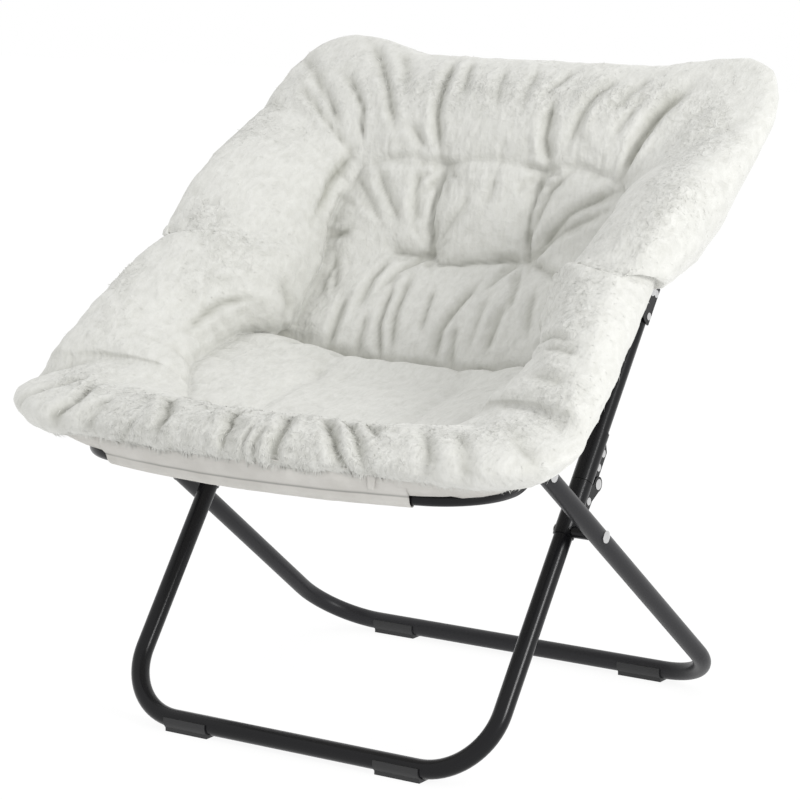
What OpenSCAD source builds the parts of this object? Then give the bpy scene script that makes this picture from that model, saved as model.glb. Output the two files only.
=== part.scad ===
// Folding saucer chair: two crossed U legs, a hinged U back and a U seat ring under a padded fur cover.
// X runs across the seat, Y from the front to the back, Z up. The floor is Z = 0.

/* [Leg tubes] */
// Outer diameter of the leg and back tubes
leg_tube_d = 22; // [21:0.5:22.4]
// Wall of every tube
tube_wall = 1.2; // [0.8:0.1:1.8]
// Distance between the centre lines of the front legs
front_leg_gap = 499; // [470:1:499]
// Distance between the centre lines of the rear legs
rear_leg_gap = 583; // [583:1:600]
// Slope of the front legs and the back above the floor
leg_angle = 53.45; // [50:0.5:56]
// Slope of the rear legs above the floor
rear_leg_angle = 37.85; // [36:0.5:40]
// Height of the crossing of the legs
cross_z = 258.1; // [240:1:275]
// Place of the crossing of the legs along Y
cross_y = -41.6; // [-60:1:-20]
// Height of the floor bars' centre line
bar_z = 14; // [13.5:0.5:18]
// Bend radius of the leg and back corners
corner_r = 80; // [60:1:100]

/* [Knee hinges] */
// Distance from the crossing to the joint between leg and back tube
knee_along = 61.8; // [58:1:70]
// Distance from the tube's centre line back to the knee pin
knee_back = 31; // [29:0.5:33]
// Distance from the joint between the tubes up to the knee pin
knee_rise = 12.6; // [11:0.5:14]
// Diameter of the knee pins
knee_pin_d = 7; // [5:0.5:8]
// Thickness of the bracket sheet
sheet_t = 1.5; // [1.2:0.1:1.5]
// Length of the bracket sleeve on the leg
lower_sleeve_len = 68; // [60:1:70]
// Length of the bracket sleeve on the back tube
upper_sleeve_len = 64; // [56:1:72]
// Diameter of the bracket rivets
bracket_rivet_d = 5; // [4:0.5:5.5]

/* [Seat ring] */
// Outer diameter of the seat tube
seat_tube_d = 16; // [14:0.5:16]
// Distance between the centre lines of the seat tube's sides
seat_tube_gap = 542.6; // [542:0.2:543.2]
// Distance from the crossing of the legs to the seat pivot on the rear leg
seat_pivot_along = 148.2; // [140:1:156]
// Distance along the back tube from its lower end to the seat hinge
hinge_along = 232; // [215:1:250]
// Height of the level front part of the seat ring
seat_front_z = 336; // [330:1:340]
// Place of the middle of the seat ring's front bar
seat_front_y = -309; // [-320:1:-300]
// Radius of the front bar's bow
front_bow_r = 812; // [700:1:1000]
// Radius of the seat ring's front corners
front_corner_r = 80; // [70:1:90]
// Radius of the bend from the sloped sides to the level front
front_dip_r = 60; // [40:1:65]
// Diameter of the long rivets at the crossing, the seat pivot and the seat hinge
pivot_rivet_d = 8; // [6:0.5:9]

/* [Back ring] */
// Distance along the back tube from its lower end to the top bar
back_len = 514; // [500:1:540]

/* [Feet] */
// Length of a foot pad
foot_len = 60; // [40:1:70]
// Wall of a foot pad around the bar
foot_wall = 2; // [1.5:0.1:2.5]
// Distance from the middle to a front foot pad
front_foot_x = 147; // [110:1:160]
// Distance from the middle to a rear foot pad
rear_foot_x = 183; // [140:1:195]

/* [Cushion] */
// Width of the tufted panels between the rolls
panel_w = 390; // [360:1:400]
// Thickness of the padded panels
panel_t = 30; // [22:1:34]
// Height of the side rolls above the seat tube
seat_roll_h = 82; // [70:1:90]
// Reach of the rolls outside the tube
roll_w = 90; // [75:1:100]
// Height of the rolls above the front bar
front_roll_h = 62; // [50:1:70]
// Height of the back roll above the back tube at the notch
back_roll_h = 134; // [120:1:140]
// Height of the back roll above the top bar
top_roll_h = 30; // [24:1:40]
// Depth of the sewn tufts
tuft_depth = 20; // [10:1:22]
// Crown of the padding between the tufts
panel_crown = 16; // [8:1:20]
// Height of the upright folds in the slack lower back
fold_h = 4; // [0:0.5:6]
// Thickness of the cloth under the cushion
cloth_t = 0.8; // [0.6:0.1:0.9]

/* [Hidden] */
$fn = 48;

// Radii and half widths
leg_r = leg_tube_d / 2;
seat_r = seat_tube_d / 2;
front_x = front_leg_gap / 2;
rear_x = rear_leg_gap / 2;
seat_x = seat_tube_gap / 2;
panel_x = panel_w / 2;
overrun = 1;
// Clearances: running round pins, seating between fixed pieces, and between soft pieces
run_gap = 0.05;
seat_gap = 0.1;
side_gap = 0.3;
soft_gap = 0.8;

// Rivet heads as shares of the shank's diameter
head_d_share = 1.8;
head_t_share = 0.3;

// Seat pivot in the front leg's frame: along the leg, and in front of it
cross_turn = 180 - rear_leg_angle - leg_angle;
pivot_a = seat_pivot_along * cos(cross_turn);
pivot_f = seat_pivot_along * sin(cross_turn);
// Knee pin and seat hinge in the same frame. The hinge stands in front of the back tube by the
// distance that lets the seat ring meet the closed legs when the knee has turned half a turn.
knee_a = knee_along + knee_rise;
hinge_a = knee_along + hinge_along;
closed_a = 2 * knee_a - hinge_a - seat_pivot_along;
hinge_f = (pow(hinge_a - pivot_a, 2) + pow(pivot_f, 2) - pow(closed_a, 2) - pow(2 * knee_back, 2))
    / (4 * knee_back + 2 * pivot_f);

// Side view places as [y, z]
function leg_point(a, f) = [
    cross_y + a * cos(leg_angle) - f * sin(leg_angle),
    cross_z + a * sin(leg_angle) + f * cos(leg_angle)
];
hinge_yz = leg_point(hinge_a, hinge_f);
pivot_yz = leg_point(pivot_a, pivot_f);
side_len = norm(hinge_yz - pivot_yz);
side_angle = atan2(hinge_yz[1] - pivot_yz[1], hinge_yz[0] - pivot_yz[0]);
dip_drop = pivot_yz[1] - seat_front_z;
dip_y = pivot_yz[0] - dip_drop / tan(side_angle);
dip_tangent = front_dip_r * tan(side_angle / 2);
dip_run = dip_drop / sin(side_angle) - dip_tangent;
// Front corners: arcs that touch the sides and the bowed bar
bow_cy = seat_front_y + front_bow_r;
corner_cx = seat_x - front_corner_r;
bow_half = asin(corner_cx / (front_bow_r - front_corner_r));
corner_cy = bow_cy - (front_bow_r - front_corner_r) * cos(bow_half);
corner_turn = 90 - bow_half;

front_bar_a = (cross_z - bar_z) / sin(leg_angle);
rear_bar_a = (cross_z - bar_z) / sin(rear_leg_angle);
top_a = knee_along + back_len;
tube_end_past_pivot = pivot_rivet_d * 1.7;
hinge_end_past_pin = pivot_rivet_d * 1.6;

steel_black = [0.09, 0.09, 0.1];
steel_grey = [0.16, 0.16, 0.17];
rivet_silver = [0.8, 0.8, 0.82];
plastic_black = [0.05, 0.05, 0.05];
fur_white = [0.93, 0.92, 0.9];
cloth_grey = [0.82, 0.81, 0.79];

module in_front_leg() {
    translate([0, cross_y, cross_z]) rotate([leg_angle, 0, 0]) children();
}

module in_rear_leg() {
    translate([0, cross_y, cross_z]) rotate([180 - rear_leg_angle, 0, 0]) children();
}

module both_sides() {
    children();
    mirror([1, 0, 0]) children();
}

// A straight piece of tube along Y from y0 to y1
module tube_along(y0, y1, r, bore) {
    translate([0, y0, 0]) rotate([-90, 0, 0]) difference() {
        cylinder(h = y1 - y0, r = r);
        translate([0, 0, -overrun]) cylinder(h = y1 - y0 + 2 * overrun, r = bore);
    }
}

// A bent piece of tube in the XY plane, round the origin, from angle a0 over the given turn
module tube_bend(bend_r, a0, turn, r, bore) {
    rotate([0, 0, a0]) rotate_extrude(angle = turn) translate([bend_r, 0]) difference() {
        circle(r = r);
        circle(r = bore);
    }
}

// A flat U of tube: two legs at x = +-half and a bar at y = bar_y, with legs up to y = end_y
module tube_u(half, bar_y, end_y, r, bore) {
    way = sign(end_y - bar_y);
    mirror([0, way < 0 ? 1 : 0, 0]) {
        low = way * bar_y;
        for (side = [-1, 1]) {
            translate([side * half, 0, 0]) tube_along(low + corner_r, way * end_y, r, bore);
            translate([side * (half - corner_r), low + corner_r, 0])
                tube_bend(corner_r, side > 0 ? -90 : 180, 90, r, bore);
        }
        translate([0, low, 0]) rotate([0, 0, -90]) tube_along(corner_r - half, half - corner_r, r, bore);
    }
}

// A cross hole through a tube side at local [y, z], wide enough for a rivet shank
module cross_hole(x, y, z, d, len) {
    translate([x - len / 2, y, z]) rotate([0, 90, 0]) cylinder(h = len, d = d);
}

// A shank along X from x0 to x1 with a domed head at each end that is asked for
module rivet(x0, x1, d, head_low, head_high) {
    head_t = d * head_t_share;
    translate([x0, 0, 0]) rotate([0, 90, 0]) cylinder(h = x1 - x0, d = d);
    if (head_low) translate([x0, 0, 0]) rotate([0, -90, 0]) rivet_head(d * head_d_share, head_t);
    if (head_high) translate([x1, 0, 0]) rotate([0, 90, 0]) rivet_head(d * head_d_share, head_t);
}

module rivet_head(d, t) {
    rim = t / 3;
    dome = (pow(d / 2, 2) + pow(t - rim, 2)) / (2 * (t - rim));
    cylinder(h = rim, d = d);
    intersection() {
        cylinder(h = t, d = d);
        translate([0, 0, t - dome]) sphere(r = dome);
    }
}

module front_leg_tube() {
    color(steel_black) in_front_leg() difference() {
        tube_u(front_x, -front_bar_a, knee_along, leg_r, leg_r - tube_wall);
        for (side = [-1, 1])
            cross_hole(side * front_x, 0, 0, pivot_rivet_d + 2 * run_gap, leg_tube_d + 2 * overrun);
    }
}

module rear_leg_tube() {
    color(steel_grey) in_rear_leg() difference() {
        tube_u(rear_x, -rear_bar_a, seat_pivot_along + tube_end_past_pivot, leg_r, leg_r - tube_wall);
        for (side = [-1, 1], a = [0, seat_pivot_along])
            cross_hole(side * rear_x, a, 0, pivot_rivet_d + 2 * run_gap, leg_tube_d + 2 * overrun);
    }
}

hinge_rivet_spread = 15;
module back_ring_tube() {
    color(steel_black) in_front_leg() difference() {
        tube_u(front_x, top_a, knee_along + side_gap, leg_r, leg_r - tube_wall);
        for (side = [-1, 1], s = [-1, 1])
            cross_hole(side * front_x, hinge_a + s * hinge_rivet_spread, 0,
                bracket_rivet_d + 2 * run_gap, leg_tube_d + 2 * overrun);
    }
}

// The path of the seat ring from the hinge to the middle of the front bar, drawn with any tube radii
module at_side() {
    translate([seat_x, hinge_yz[0], hinge_yz[1]]) rotate([side_angle, 0, 0]) children();
}

module seat_path_side(r, bore, from_hinge, past_pivot) {
    at_side() tube_along(-side_len - past_pivot, -from_hinge, r, bore);
}

module seat_path_dip(r, bore) {
    trim = seam / front_dip_r * 180 / PI;
    translate([seat_x, dip_y - dip_tangent, seat_front_z + front_dip_r]) rotate([90, 0, 90])
        tube_bend(front_dip_r, trim - 90, side_angle - 2 * trim, r, bore);
}

module seat_path_level(r, bore) {
    translate([seat_x, 0, seat_front_z]) tube_along(corner_cy, dip_y - dip_tangent, r, bore);
}

module at_corner(angle) {
    translate([corner_cx, corner_cy, seat_front_z]) rotate([0, 0, angle]) children();
}

module seat_path_corner(r, bore) {
    trim = seam / front_corner_r * 180 / PI;
    at_corner(0) tube_bend(front_corner_r, trim - corner_turn, corner_turn - 2 * trim, r, bore);
}

module seat_path_bow(r, bore, half) {
    $fn = 400;
    translate([0, bow_cy, seat_front_z]) tube_bend(front_bow_r, -90 - half, 2 * half, r, bore);
}

// Bends at odd angles meet their neighbours at a hairline seam, tied by a ring inside the tube's wall
seam = 0.01;
lap = 1.2;
module seam_ring() {
    inset = tube_wall / 4;
    tube_along(-lap, lap, seat_r - inset, seat_r - tube_wall + inset);
}

module seat_ring_tube() {
    bore = seat_r - tube_wall;
    color(steel_black) difference() {
        union() {
            both_sides() {
                seat_path_side(seat_r, bore, -hinge_end_past_pin, dip_run - seam);
                at_side() translate([0, -side_len - dip_run, 0]) seam_ring();
                seat_path_dip(seat_r, bore);
                translate([seat_x, dip_y - dip_tangent, seat_front_z]) seam_ring();
                seat_path_level(seat_r, bore);
                translate([seat_x, corner_cy, seat_front_z]) seam_ring();
                seat_path_corner(seat_r, bore);
                at_corner(-corner_turn) translate([front_corner_r, 0, 0]) seam_ring();
            }
            seat_path_bow(seat_r, bore, bow_half);
        }
        for (side = [-1, 1])
            cross_hole(side * seat_x, hinge_yz[0], hinge_yz[1], pivot_rivet_d + 2 * run_gap,
                seat_tube_d + 2 * overrun);
    }
}

// Knee brackets. Each is a sleeve round the tube with two sheet flanges behind it. Flange outlines are
// shares of the knee pin's place, as [along the tube, behind the tube].
lower_flange_shares = [
    [0.35, 0.36], [0.82, 0.36], [0.82, 0.52], [0.965, 0.72], [1, 1],
    [0.914, 1.21], [0.7, 0.97], [0.42, 0.94], [0.35, 0.78]
];
upper_flange_shares = [
    [0.02, 0.36], [0.94, 0.36], [0.94, 0.7], [0.82, 0.96], [0.3, 0.96], [0.22, 1.26], [0.08, 1.22]
];
ear_r = knee_pin_d * 1.3;
fork_half = sheet_t + side_gap;
lower_rivet_a = [knee_along * 0.53, knee_along * 0.79];
upper_rivet_a = [knee_along + upper_sleeve_len * 0.47, knee_along + upper_sleeve_len * 0.75];
bracket_rivet_back = knee_back * 0.74;

module sleeve(a0, a1, r_in, t) {
    tube_along(a0, a1, r_in + t, r_in);
}

// A flat plate in the side view, its outline given in [along, back], between x0 and x1
module side_plate(x0, x1) {
    translate([x0, 0, 0]) rotate([90, 0, 90]) linear_extrude(height = x1 - x0) children();
}

module lower_knee_bracket() {
    in_front_leg() translate([front_x, 0, 0]) {
        difference() {
            sleeve(knee_along - side_gap - lower_sleeve_len, knee_along - side_gap, leg_r + seat_gap / 2,
                sheet_t - seat_gap / 2);
            cross_hole(0, 0, 0, pivot_rivet_d * head_d_share + 2 * seat_gap, 2 * leg_tube_d);
        }
        for (side = [-1, 1]) {
            near = side > 0 ? fork_half : -fork_half - sheet_t;
            side_plate(near, near + sheet_t) difference() {
                union() {
                    polygon([for (p = lower_flange_shares) [p[0] * knee_a, -p[1] * knee_back]]);
                    translate([knee_a, -knee_back]) circle(r = ear_r);
                }
                translate([knee_a, -knee_back]) circle(d = knee_pin_d + 2 * run_gap);
                for (a = lower_rivet_a)
                    translate([a, -bracket_rivet_back]) circle(d = bracket_rivet_d + 2 * run_gap);
            }
        }
    }
}

module upper_knee_bracket() {
    in_front_leg() translate([front_x, 0, 0]) {
        sleeve(knee_along + side_gap, knee_along + upper_sleeve_len, leg_r + seat_gap / 2,
            sheet_t - seat_gap / 2);
        side_plate(-sheet_t, sheet_t) difference() {
            union() {
                polygon([for (p = upper_flange_shares)
                    [knee_along + p[0] * upper_sleeve_len, -p[1] * knee_back]]);
                translate([knee_a, -knee_back]) circle(r = ear_r);
            }
            translate([knee_a, -knee_back]) circle(d = knee_pin_d + 2 * run_gap);
            for (a = upper_rivet_a)
                translate([a, -bracket_rivet_back]) circle(d = bracket_rivet_d + 2 * run_gap);
        }
    }
}

module lower_knee_bracket_right() { color(steel_black) lower_knee_bracket(); }
module lower_knee_bracket_left() { color(steel_black) mirror([1, 0, 0]) lower_knee_bracket(); }
module upper_knee_bracket_right() { color(steel_black) upper_knee_bracket(); }
module upper_knee_bracket_left() { color(steel_black) mirror([1, 0, 0]) upper_knee_bracket(); }

fork_out = fork_half + sheet_t;
module knee_pins() {
    color(rivet_silver) both_sides() in_front_leg() translate([front_x, knee_a, -knee_back])
        rivet(-fork_out, fork_out, knee_pin_d, true, true);
}

module lower_bracket_rivets() {
    color(rivet_silver) both_sides() in_front_leg() for (a = lower_rivet_a)
        translate([front_x, a, -bracket_rivet_back]) rivet(-fork_out, fork_out, bracket_rivet_d, true, true);
}

module upper_bracket_rivets() {
    color(rivet_silver) both_sides() in_front_leg() for (a = upper_rivet_a)
        translate([front_x, a, -bracket_rivet_back]) rivet(-sheet_t, sheet_t, bracket_rivet_d, true, true);
}

// Crossing of the legs: a long rivet through both tubes with a spacer between them
module cross_rivets() {
    color(rivet_silver) both_sides() translate([0, cross_y, cross_z])
        rivet(front_x - leg_r, rear_x + leg_r, pivot_rivet_d, true, true);
}

spacer_wall = 2.5;
module cross_spacers() {
    color(steel_black) both_sides() translate([front_x + leg_r, cross_y, cross_z]) rotate([0, 90, 0])
        difference() {
            cylinder(h = rear_x - front_x - leg_tube_d - side_gap, d = pivot_rivet_d + 2 * spacer_wall);
            translate([0, 0, -overrun])
                cylinder(h = rear_x - front_x, d = pivot_rivet_d + 2 * run_gap);
        }
}

// Seat pivot: the rivet stands in the rear leg and its washer bears on the seat tube's side
module seat_pivot_rivets() {
    color(rivet_silver) both_sides() translate([0, pivot_yz[0], pivot_yz[1]])
        rivet(rear_x - leg_r - washer_t, rear_x + leg_r, pivot_rivet_d, false, true);
}

washer_t = (rear_x - leg_r - seat_x - seat_r) / 2;
module seat_pivot_washers() {
    color(plastic_black) both_sides() translate([rear_x - leg_r - washer_t, pivot_yz[0], pivot_yz[1]])
        rotate([0, 90, 0]) difference() {
            cylinder(h = washer_t, d = 2 * pivot_rivet_d);
            translate([0, 0, -overrun])
                cylinder(h = washer_t + 2 * overrun, d = pivot_rivet_d + 2 * run_gap);
        }
}

// Seat hinge: a sheet ear on the outer side of the back tube carries the end of the seat tube
hinge_plate_t = seat_x - seat_r - front_x - leg_r - 2 * side_gap;
hinge_ear_r = pivot_rivet_d * 1.25;
hinge_foot_share = 1.6;
module seat_hinge_bracket() {
    foot = hinge_rivet_spread * hinge_foot_share;
    in_front_leg() side_plate(front_x + leg_r, front_x + leg_r + hinge_plate_t) difference() {
        union() {
            polygon([
                [hinge_a - foot, -leg_r / 2], [hinge_a + foot, -leg_r / 2],
                [hinge_a + foot, leg_r / 2], [hinge_a + hinge_ear_r, hinge_f],
                [hinge_a - hinge_ear_r, hinge_f], [hinge_a - foot, leg_r / 2]
            ]);
            translate([hinge_a, hinge_f]) circle(r = hinge_ear_r);
        }
        translate([hinge_a, hinge_f]) circle(d = pivot_rivet_d + 2 * run_gap);
        for (s = [-1, 1])
            translate([hinge_a + s * hinge_rivet_spread, 0]) circle(d = bracket_rivet_d + 2 * run_gap);
    }
}

module seat_hinge_bracket_right() { color(steel_black) seat_hinge_bracket(); }
module seat_hinge_bracket_left() { color(steel_black) mirror([1, 0, 0]) seat_hinge_bracket(); }

module hinge_bracket_rivets() {
    color(rivet_silver) both_sides() in_front_leg() for (s = [-1, 1])
        translate([0, hinge_a + s * hinge_rivet_spread, 0])
            rivet(front_x - leg_r, front_x + leg_r + hinge_plate_t, bracket_rivet_d, true, true);
}

module seat_hinge_pins() {
    color(rivet_silver) both_sides() translate([0, hinge_yz[0], hinge_yz[1]])
        rivet(front_x + leg_r, seat_x + seat_r + side_gap, pivot_rivet_d, true, true);
}

plug_cap_t = 2.5;
plug_depth = 5;
module tube_plug(r) {
    rotate([-90, 0, 0]) {
        cylinder(h = plug_cap_t, r = r);
        translate([0, 0, -plug_depth]) difference() {
            cylinder(h = plug_depth, r = r - tube_wall - seat_gap);
            translate([0, 0, -overrun]) cylinder(h = plug_depth, r = r - 3 * tube_wall);
        }
    }
}

module rear_leg_plugs() {
    color(plastic_black) both_sides() in_rear_leg()
        translate([rear_x, seat_pivot_along + tube_end_past_pivot, 0]) tube_plug(leg_r);
}

module seat_tube_plugs() {
    color(plastic_black) both_sides() at_side() translate([0, hinge_end_past_pin, 0]) tube_plug(seat_r);
}

// A foot pad is a saddle under the floor bar with a flat sole
module foot_pad(x, bar_y) {
    translate([x - foot_len / 2, bar_y, bar_z]) rotate([90, 0, 90]) linear_extrude(height = foot_len)
        difference() {
            union() {
                circle(r = leg_r + foot_wall);
                translate([-foot_sole_w / 2, -bar_z]) square([foot_sole_w, bar_z]);
            }
            circle(r = leg_r + seat_gap / 2);
            translate([-2 * leg_r, leg_r / 3]) square([4 * leg_r, 2 * leg_r]);
            translate([-2 * leg_r, -bar_z - leg_r]) square([4 * leg_r, leg_r]);
        }
}
foot_sole_w = leg_tube_d * 0.8;
front_bar_y = cross_y - front_bar_a * cos(leg_angle);
rear_bar_y = cross_y + rear_bar_a * cos(rear_leg_angle);
module front_foot_left() { color(plastic_black) foot_pad(-front_foot_x, front_bar_y); }
module front_foot_right() { color(plastic_black) foot_pad(front_foot_x, front_bar_y); }
module rear_foot_left() { color(plastic_black) foot_pad(-rear_foot_x, rear_bar_y); }
module rear_foot_right() { color(plastic_black) foot_pad(rear_foot_x, rear_bar_y); }

// Helpers for the soft forms
function lerp(a, b, t) = a + (b - a) * t;
// Smooth value from an evenly spaced table at t from 0 to 1
function spline_at(v, t) =
    let (n = len(v) - 1, s = min(max(t, 0), 1) * n, i = min(floor(s), n - 1), f = s - i,
        a = v[max(i - 1, 0)], b = v[i], c = v[i + 1], d = v[min(i + 2, n)])
    0.5 * (2 * b + (c - a) * f + (2 * a - 5 * b + 4 * c - d) * f * f + (3 * b - a - 3 * c + d) * f * f * f);
function table_at(v, t) =
    let (n = len(v) - 1, s = min(max(t, 0), 1) * n, i = min(floor(s), n - 1))
    lerp(v[i], v[i + 1], s - i);
function unit(v) = v / norm(v);

// A closed solid between two equal grids of points, top and bottom
module grid_solid(top, bottom) {
    rows = len(top);
    cols = len(top[0]);
    half = rows * cols;
    points = concat([for (r = top) for (p = r) p], [for (r = bottom) for (p = r) p]);
    rim = concat(
        [for (c = [0:cols - 1]) c],
        [for (r = [1:rows - 1]) r * cols + cols - 1],
        [for (c = [cols - 2:-1:0]) (rows - 1) * cols + c],
        [for (r = [rows - 2:-1:1]) r * cols]
    );
    faces = concat(
        [for (r = [0:rows - 2]) for (c = [0:cols - 2]) for (k = [0, 1])
            let (i = r * cols + c) k == 0 ? [i, i + cols, i + 1] : [i + 1, i + cols, i + cols + 1]],
        [for (r = [0:rows - 2]) for (c = [0:cols - 2]) for (k = [0, 1])
            let (i = half + r * cols + c) k == 0 ? [i, i + 1, i + cols] : [i + 1, i + cols + 1, i + cols]],
        [for (j = [0:len(rim) - 1]) for (k = [0, 1])
            let (a = rim[j], b = rim[(j + 1) % len(rim)])
            k == 0 ? [a, b, half + a] : [b, half + b, half + a]]
    );
    polyhedron(points = points, faces = faces);
}

// A closed solid through a list of closed sections, each with a middle point for its end cap
module roll_solid(sections, first_mid, last_mid) {
    n = len(sections[0]);
    m = len(sections);
    points = concat([for (s = sections) for (p = s) p], [first_mid, last_mid]);
    faces = concat(
        [for (i = [0:m - 2]) for (j = [0:n - 1]) for (k = [0, 1])
            let (a = i * n + j, b = i * n + (j + 1) % n)
            k == 0 ? [a, b, a + n] : [b, b + n, a + n]],
        [for (j = [0:n - 1]) [m * n, (j + 1) % n, j]],
        [for (j = [0:n - 1]) [m * n + 1, (m - 1) * n + j, (m - 1) * n + (j + 1) % n]]
    );
    polyhedron(points = points, faces = faces);
}

// The padded seat in the side view, from its front edge over the crease and up behind the hinge:
// [share of the seat's depth, share of its height] from the middle of the front bar.
dish_d = hinge_yz[0] - seat_front_y;
dish_h = hinge_yz[1] - seat_front_z;
seat_line_shares = [
    [0.29, 0.2], [0.42, 0.235], [0.56, 0.28], [0.7, 0.335], [0.8, 0.385],
    [0.855, 0.43], [0.905, 0.52], [0.965, 0.68], [1.013, 0.793]
];
crease_share = 0.64;
function seat_line(t) = let (p = spline_at(seat_line_shares, t)) [
    seat_front_y + p[0] * dish_d, seat_front_z + p[1] * dish_h
];
// Direction away from the dish at a place on that line
step_share = 0.01;
function seat_out(t) = let (a = seat_line(t - step_share), b = seat_line(t + step_share), d = unit(b - a))
    [d[1], -d[0]];

// The padded back in front of the tube, as shares of the hinge's offset, from its lower to its upper edge
back_line_shares = [0, 0.07, 0.26, 0.54, 0.84];
back_panel_a = [hinge_a + soft_gap, knee_along + back_len * 0.745];
function back_line(t) =
    leg_point(lerp(back_panel_a[0], back_panel_a[1], t), hinge_f * spline_at(back_line_shares, t));
back_out = [sin(leg_angle), -cos(leg_angle)];
// Lower end of the seat's upturned edge: it leaves the wedge that closes when the back folds behind
wedge_angle = -80;
wedge_out = [cos(wedge_angle), sin(wedge_angle)];

// Padding between the tufts, from 0 at a tuft to 1 in the middle of a cell
function pillow(x, cells) = pow(abs(sin(180 * cells * (x + 1) / 2)), 0.7);
tuft_row_share = 0.25;
function back_pad(x, t) =
    let (row = t < tuft_row_share ? t / tuft_row_share : (t - tuft_row_share) / (1 - tuft_row_share))
    panel_crown * pillow(x, 3) * pow(max(sin(180 * row), 0), 0.7)
        - tuft_depth / 3 * exp(-pow((t - tuft_row_share) / 0.08, 2)) * (1 - pillow(x, 3));
folds = 6;
function fold_at(x) = fold_h * (1 + cos(360 * folds * (x + 1) / 2)) / 2;
function seat_pad(x, t) = t < crease_share
    ? panel_crown * pow(max(sin(180 * t / crease_share), 0), 0.7) * (1 - pow(abs(x), 4))
    : fold_at(x) * min((t - crease_share) * 8, 1);

seat_rows = 16;
seat_cols = 32;
function share_list(n) = [for (i = [0:n]) i / n];
function seat_top(x, t) = let (p = seat_line(t), o = seat_out(t), h = seat_pad(x, t))
    [x * (panel_x - soft_gap), p[0] - o[0] * h, p[1] - o[1] * h];
function seat_bottom(x, t, depth) =
    let (p = seat_line(t), k = pow(t, 6), o = unit(lerp(seat_out(t), wedge_out, k)))
    [x * (panel_x - soft_gap), p[0] + o[0] * depth, p[1] + o[1] * depth];
function back_top(x, t) = let (p = back_line(t), h = back_pad(x, t))
    [x * (panel_x - soft_gap), p[0] - back_out[0] * h, p[1] - back_out[1] * h];
function back_bottom(x, t, depth) = let (p = back_line(t))
    [x * (panel_x - soft_gap), p[0] + back_out[0] * depth, p[1] + back_out[1] * depth];
front_inset_share = 0.004;

module seat_panel() {
    color(fur_white) grid_solid(
        [for (t = share_list(seat_rows)) [for (x = share_list(seat_cols))
            seat_top(2 * x - 1, lerp(front_inset_share, 1, t))]],
        [for (t = share_list(seat_rows)) [for (x = share_list(seat_cols))
            seat_bottom(2 * x - 1, lerp(front_inset_share, 1, t), panel_t)]]
    );
}

back_rows = 12;
back_cols = 30;
module back_panel() {
    color(fur_white) grid_solid(
        [for (t = share_list(back_rows)) [for (x = share_list(back_cols)) back_top(2 * x - 1, t)]],
        [for (t = share_list(back_rows)) [for (x = share_list(back_cols))
            back_bottom(2 * x - 1, t, panel_t)]]
    );
}

// The strip of padding that creases between the seat and the back
fold_rows = 2;
fold_cols = 18;
module lumbar_fold() {
    reach = norm(back_line(0) - seat_line(1));
    inset = soft_gap / reach;
    color(fur_white) grid_solid(
        [for (t = share_list(fold_rows)) [for (x = share_list(fold_cols))
            lerp(seat_top(2 * x - 1, 1), back_top(2 * x - 1, 0), lerp(inset, 1 - inset, t))]],
        [for (t = share_list(fold_rows)) [for (x = share_list(fold_cols))
            lerp(seat_bottom(2 * x - 1, 1, panel_t), back_bottom(2 * x - 1, 0, panel_t),
                lerp(inset, 1 - inset, t))]]
    );
}

// Rolls round the rim. A section stands on a place c of the tube and reaches in to the panel's edge f.
// way holds three directions and a share: outward, up out of the dish, back, and the lean back per height.
roll_round = 60;
function mix_top(p) = let (n = len(p) - 1) concat(
    [for (i = [0:n - 1]) each [p[i], spline_at(p, (i + 0.5) / n)]], [p[n]]);
function spot(c, way, o, n) = c + way[0] * o + way[1] * n + way[2] * (way[3] * max(n, 0));
function roll_section(c, f, way, h, w, tuck, low, rt) = let (
    crest = spot(c, way, w - 0.42 * roll_round, h), foot = max(w * tuck, 1.3 * rt),
    // Well above the tube the lower face runs nearly level, otherwise it dips down beside the tube
    raised = low > 2 * rt,
    dip = low > 0.72 * rt ? lerp(low, 0.72 * rt, raised ? 0.1 : 0.5) : 0.2 * rt
) concat(
    mix_top([
        f,
        lerp(f, crest, 0.32) + (way[1] * 0.1 - way[0] * 0.12) * roll_round,
        lerp(f, crest, 0.7) + (way[1] * 0.17 - way[0] * 0.15) * roll_round,
        crest,
        spot(c, way, w - 0.1 * roll_round, lerp(low, h, 0.86)),
        spot(c, way, w, lerp(low, h, 0.58)),
        spot(c, way, lerp(foot, w, 0.62), lerp(low, h, 0.2)),
        spot(c, way, foot, low)
    ]),
    [
        spot(c, way, 1.15 * rt, low),
        spot(c, way, (raised ? 0.6 : 1.04) * rt, dip),
        spot(c, way, 0.78 * rt, 0.72 * rt),
        spot(c, way, 0, 1.05 * rt),
        spot(c, way, -0.8 * rt, 0.72 * rt),
        spot(c, way, -1.15 * rt, 0),
        f - way[1] * panel_t
    ]
);
function roll_middle(c, h, up, back, lean) = c + up * (0.4 * h) + back * (lean * 0.4);

sleeve_r = seat_r + seat_gap + cloth_t;
seat_clear_r = sleeve_r + 2 * side_gap;
back_clear_r = leg_r + seat_gap + cloth_t + 2 * side_gap;
side_up = [0, -sin(side_angle), cos(side_angle)];
side_way = [0, -cos(side_angle), -sin(side_angle)];
sideways = [1, 0, 0];
function side_point(d) = [seat_x, hinge_yz[0] - d * cos(side_angle), hinge_yz[1] - d * sin(side_angle)];
side_span_shares = [0.09, 1.0];
foot_t_shares = [1, 0.7, 0.4, 0.22, 0.04];
side_lean_shares = [0.62, 0.4, 0.2, 0.08, 0];
side_low_shares = [1.4, 1.4, 1.6, 2.1, 3.1];
side_h_shares = [0.98, 1.08, 1.1, 1.08, 1.02];
side_w_shares = [0.8, 0.95, 1.04, 1.08, 1.1];
side_tuck_share = 0.35;
side_sections = 7;
function seat_foot(t) = let (p = seat_line(t)) [panel_x, p[0], p[1]];
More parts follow.
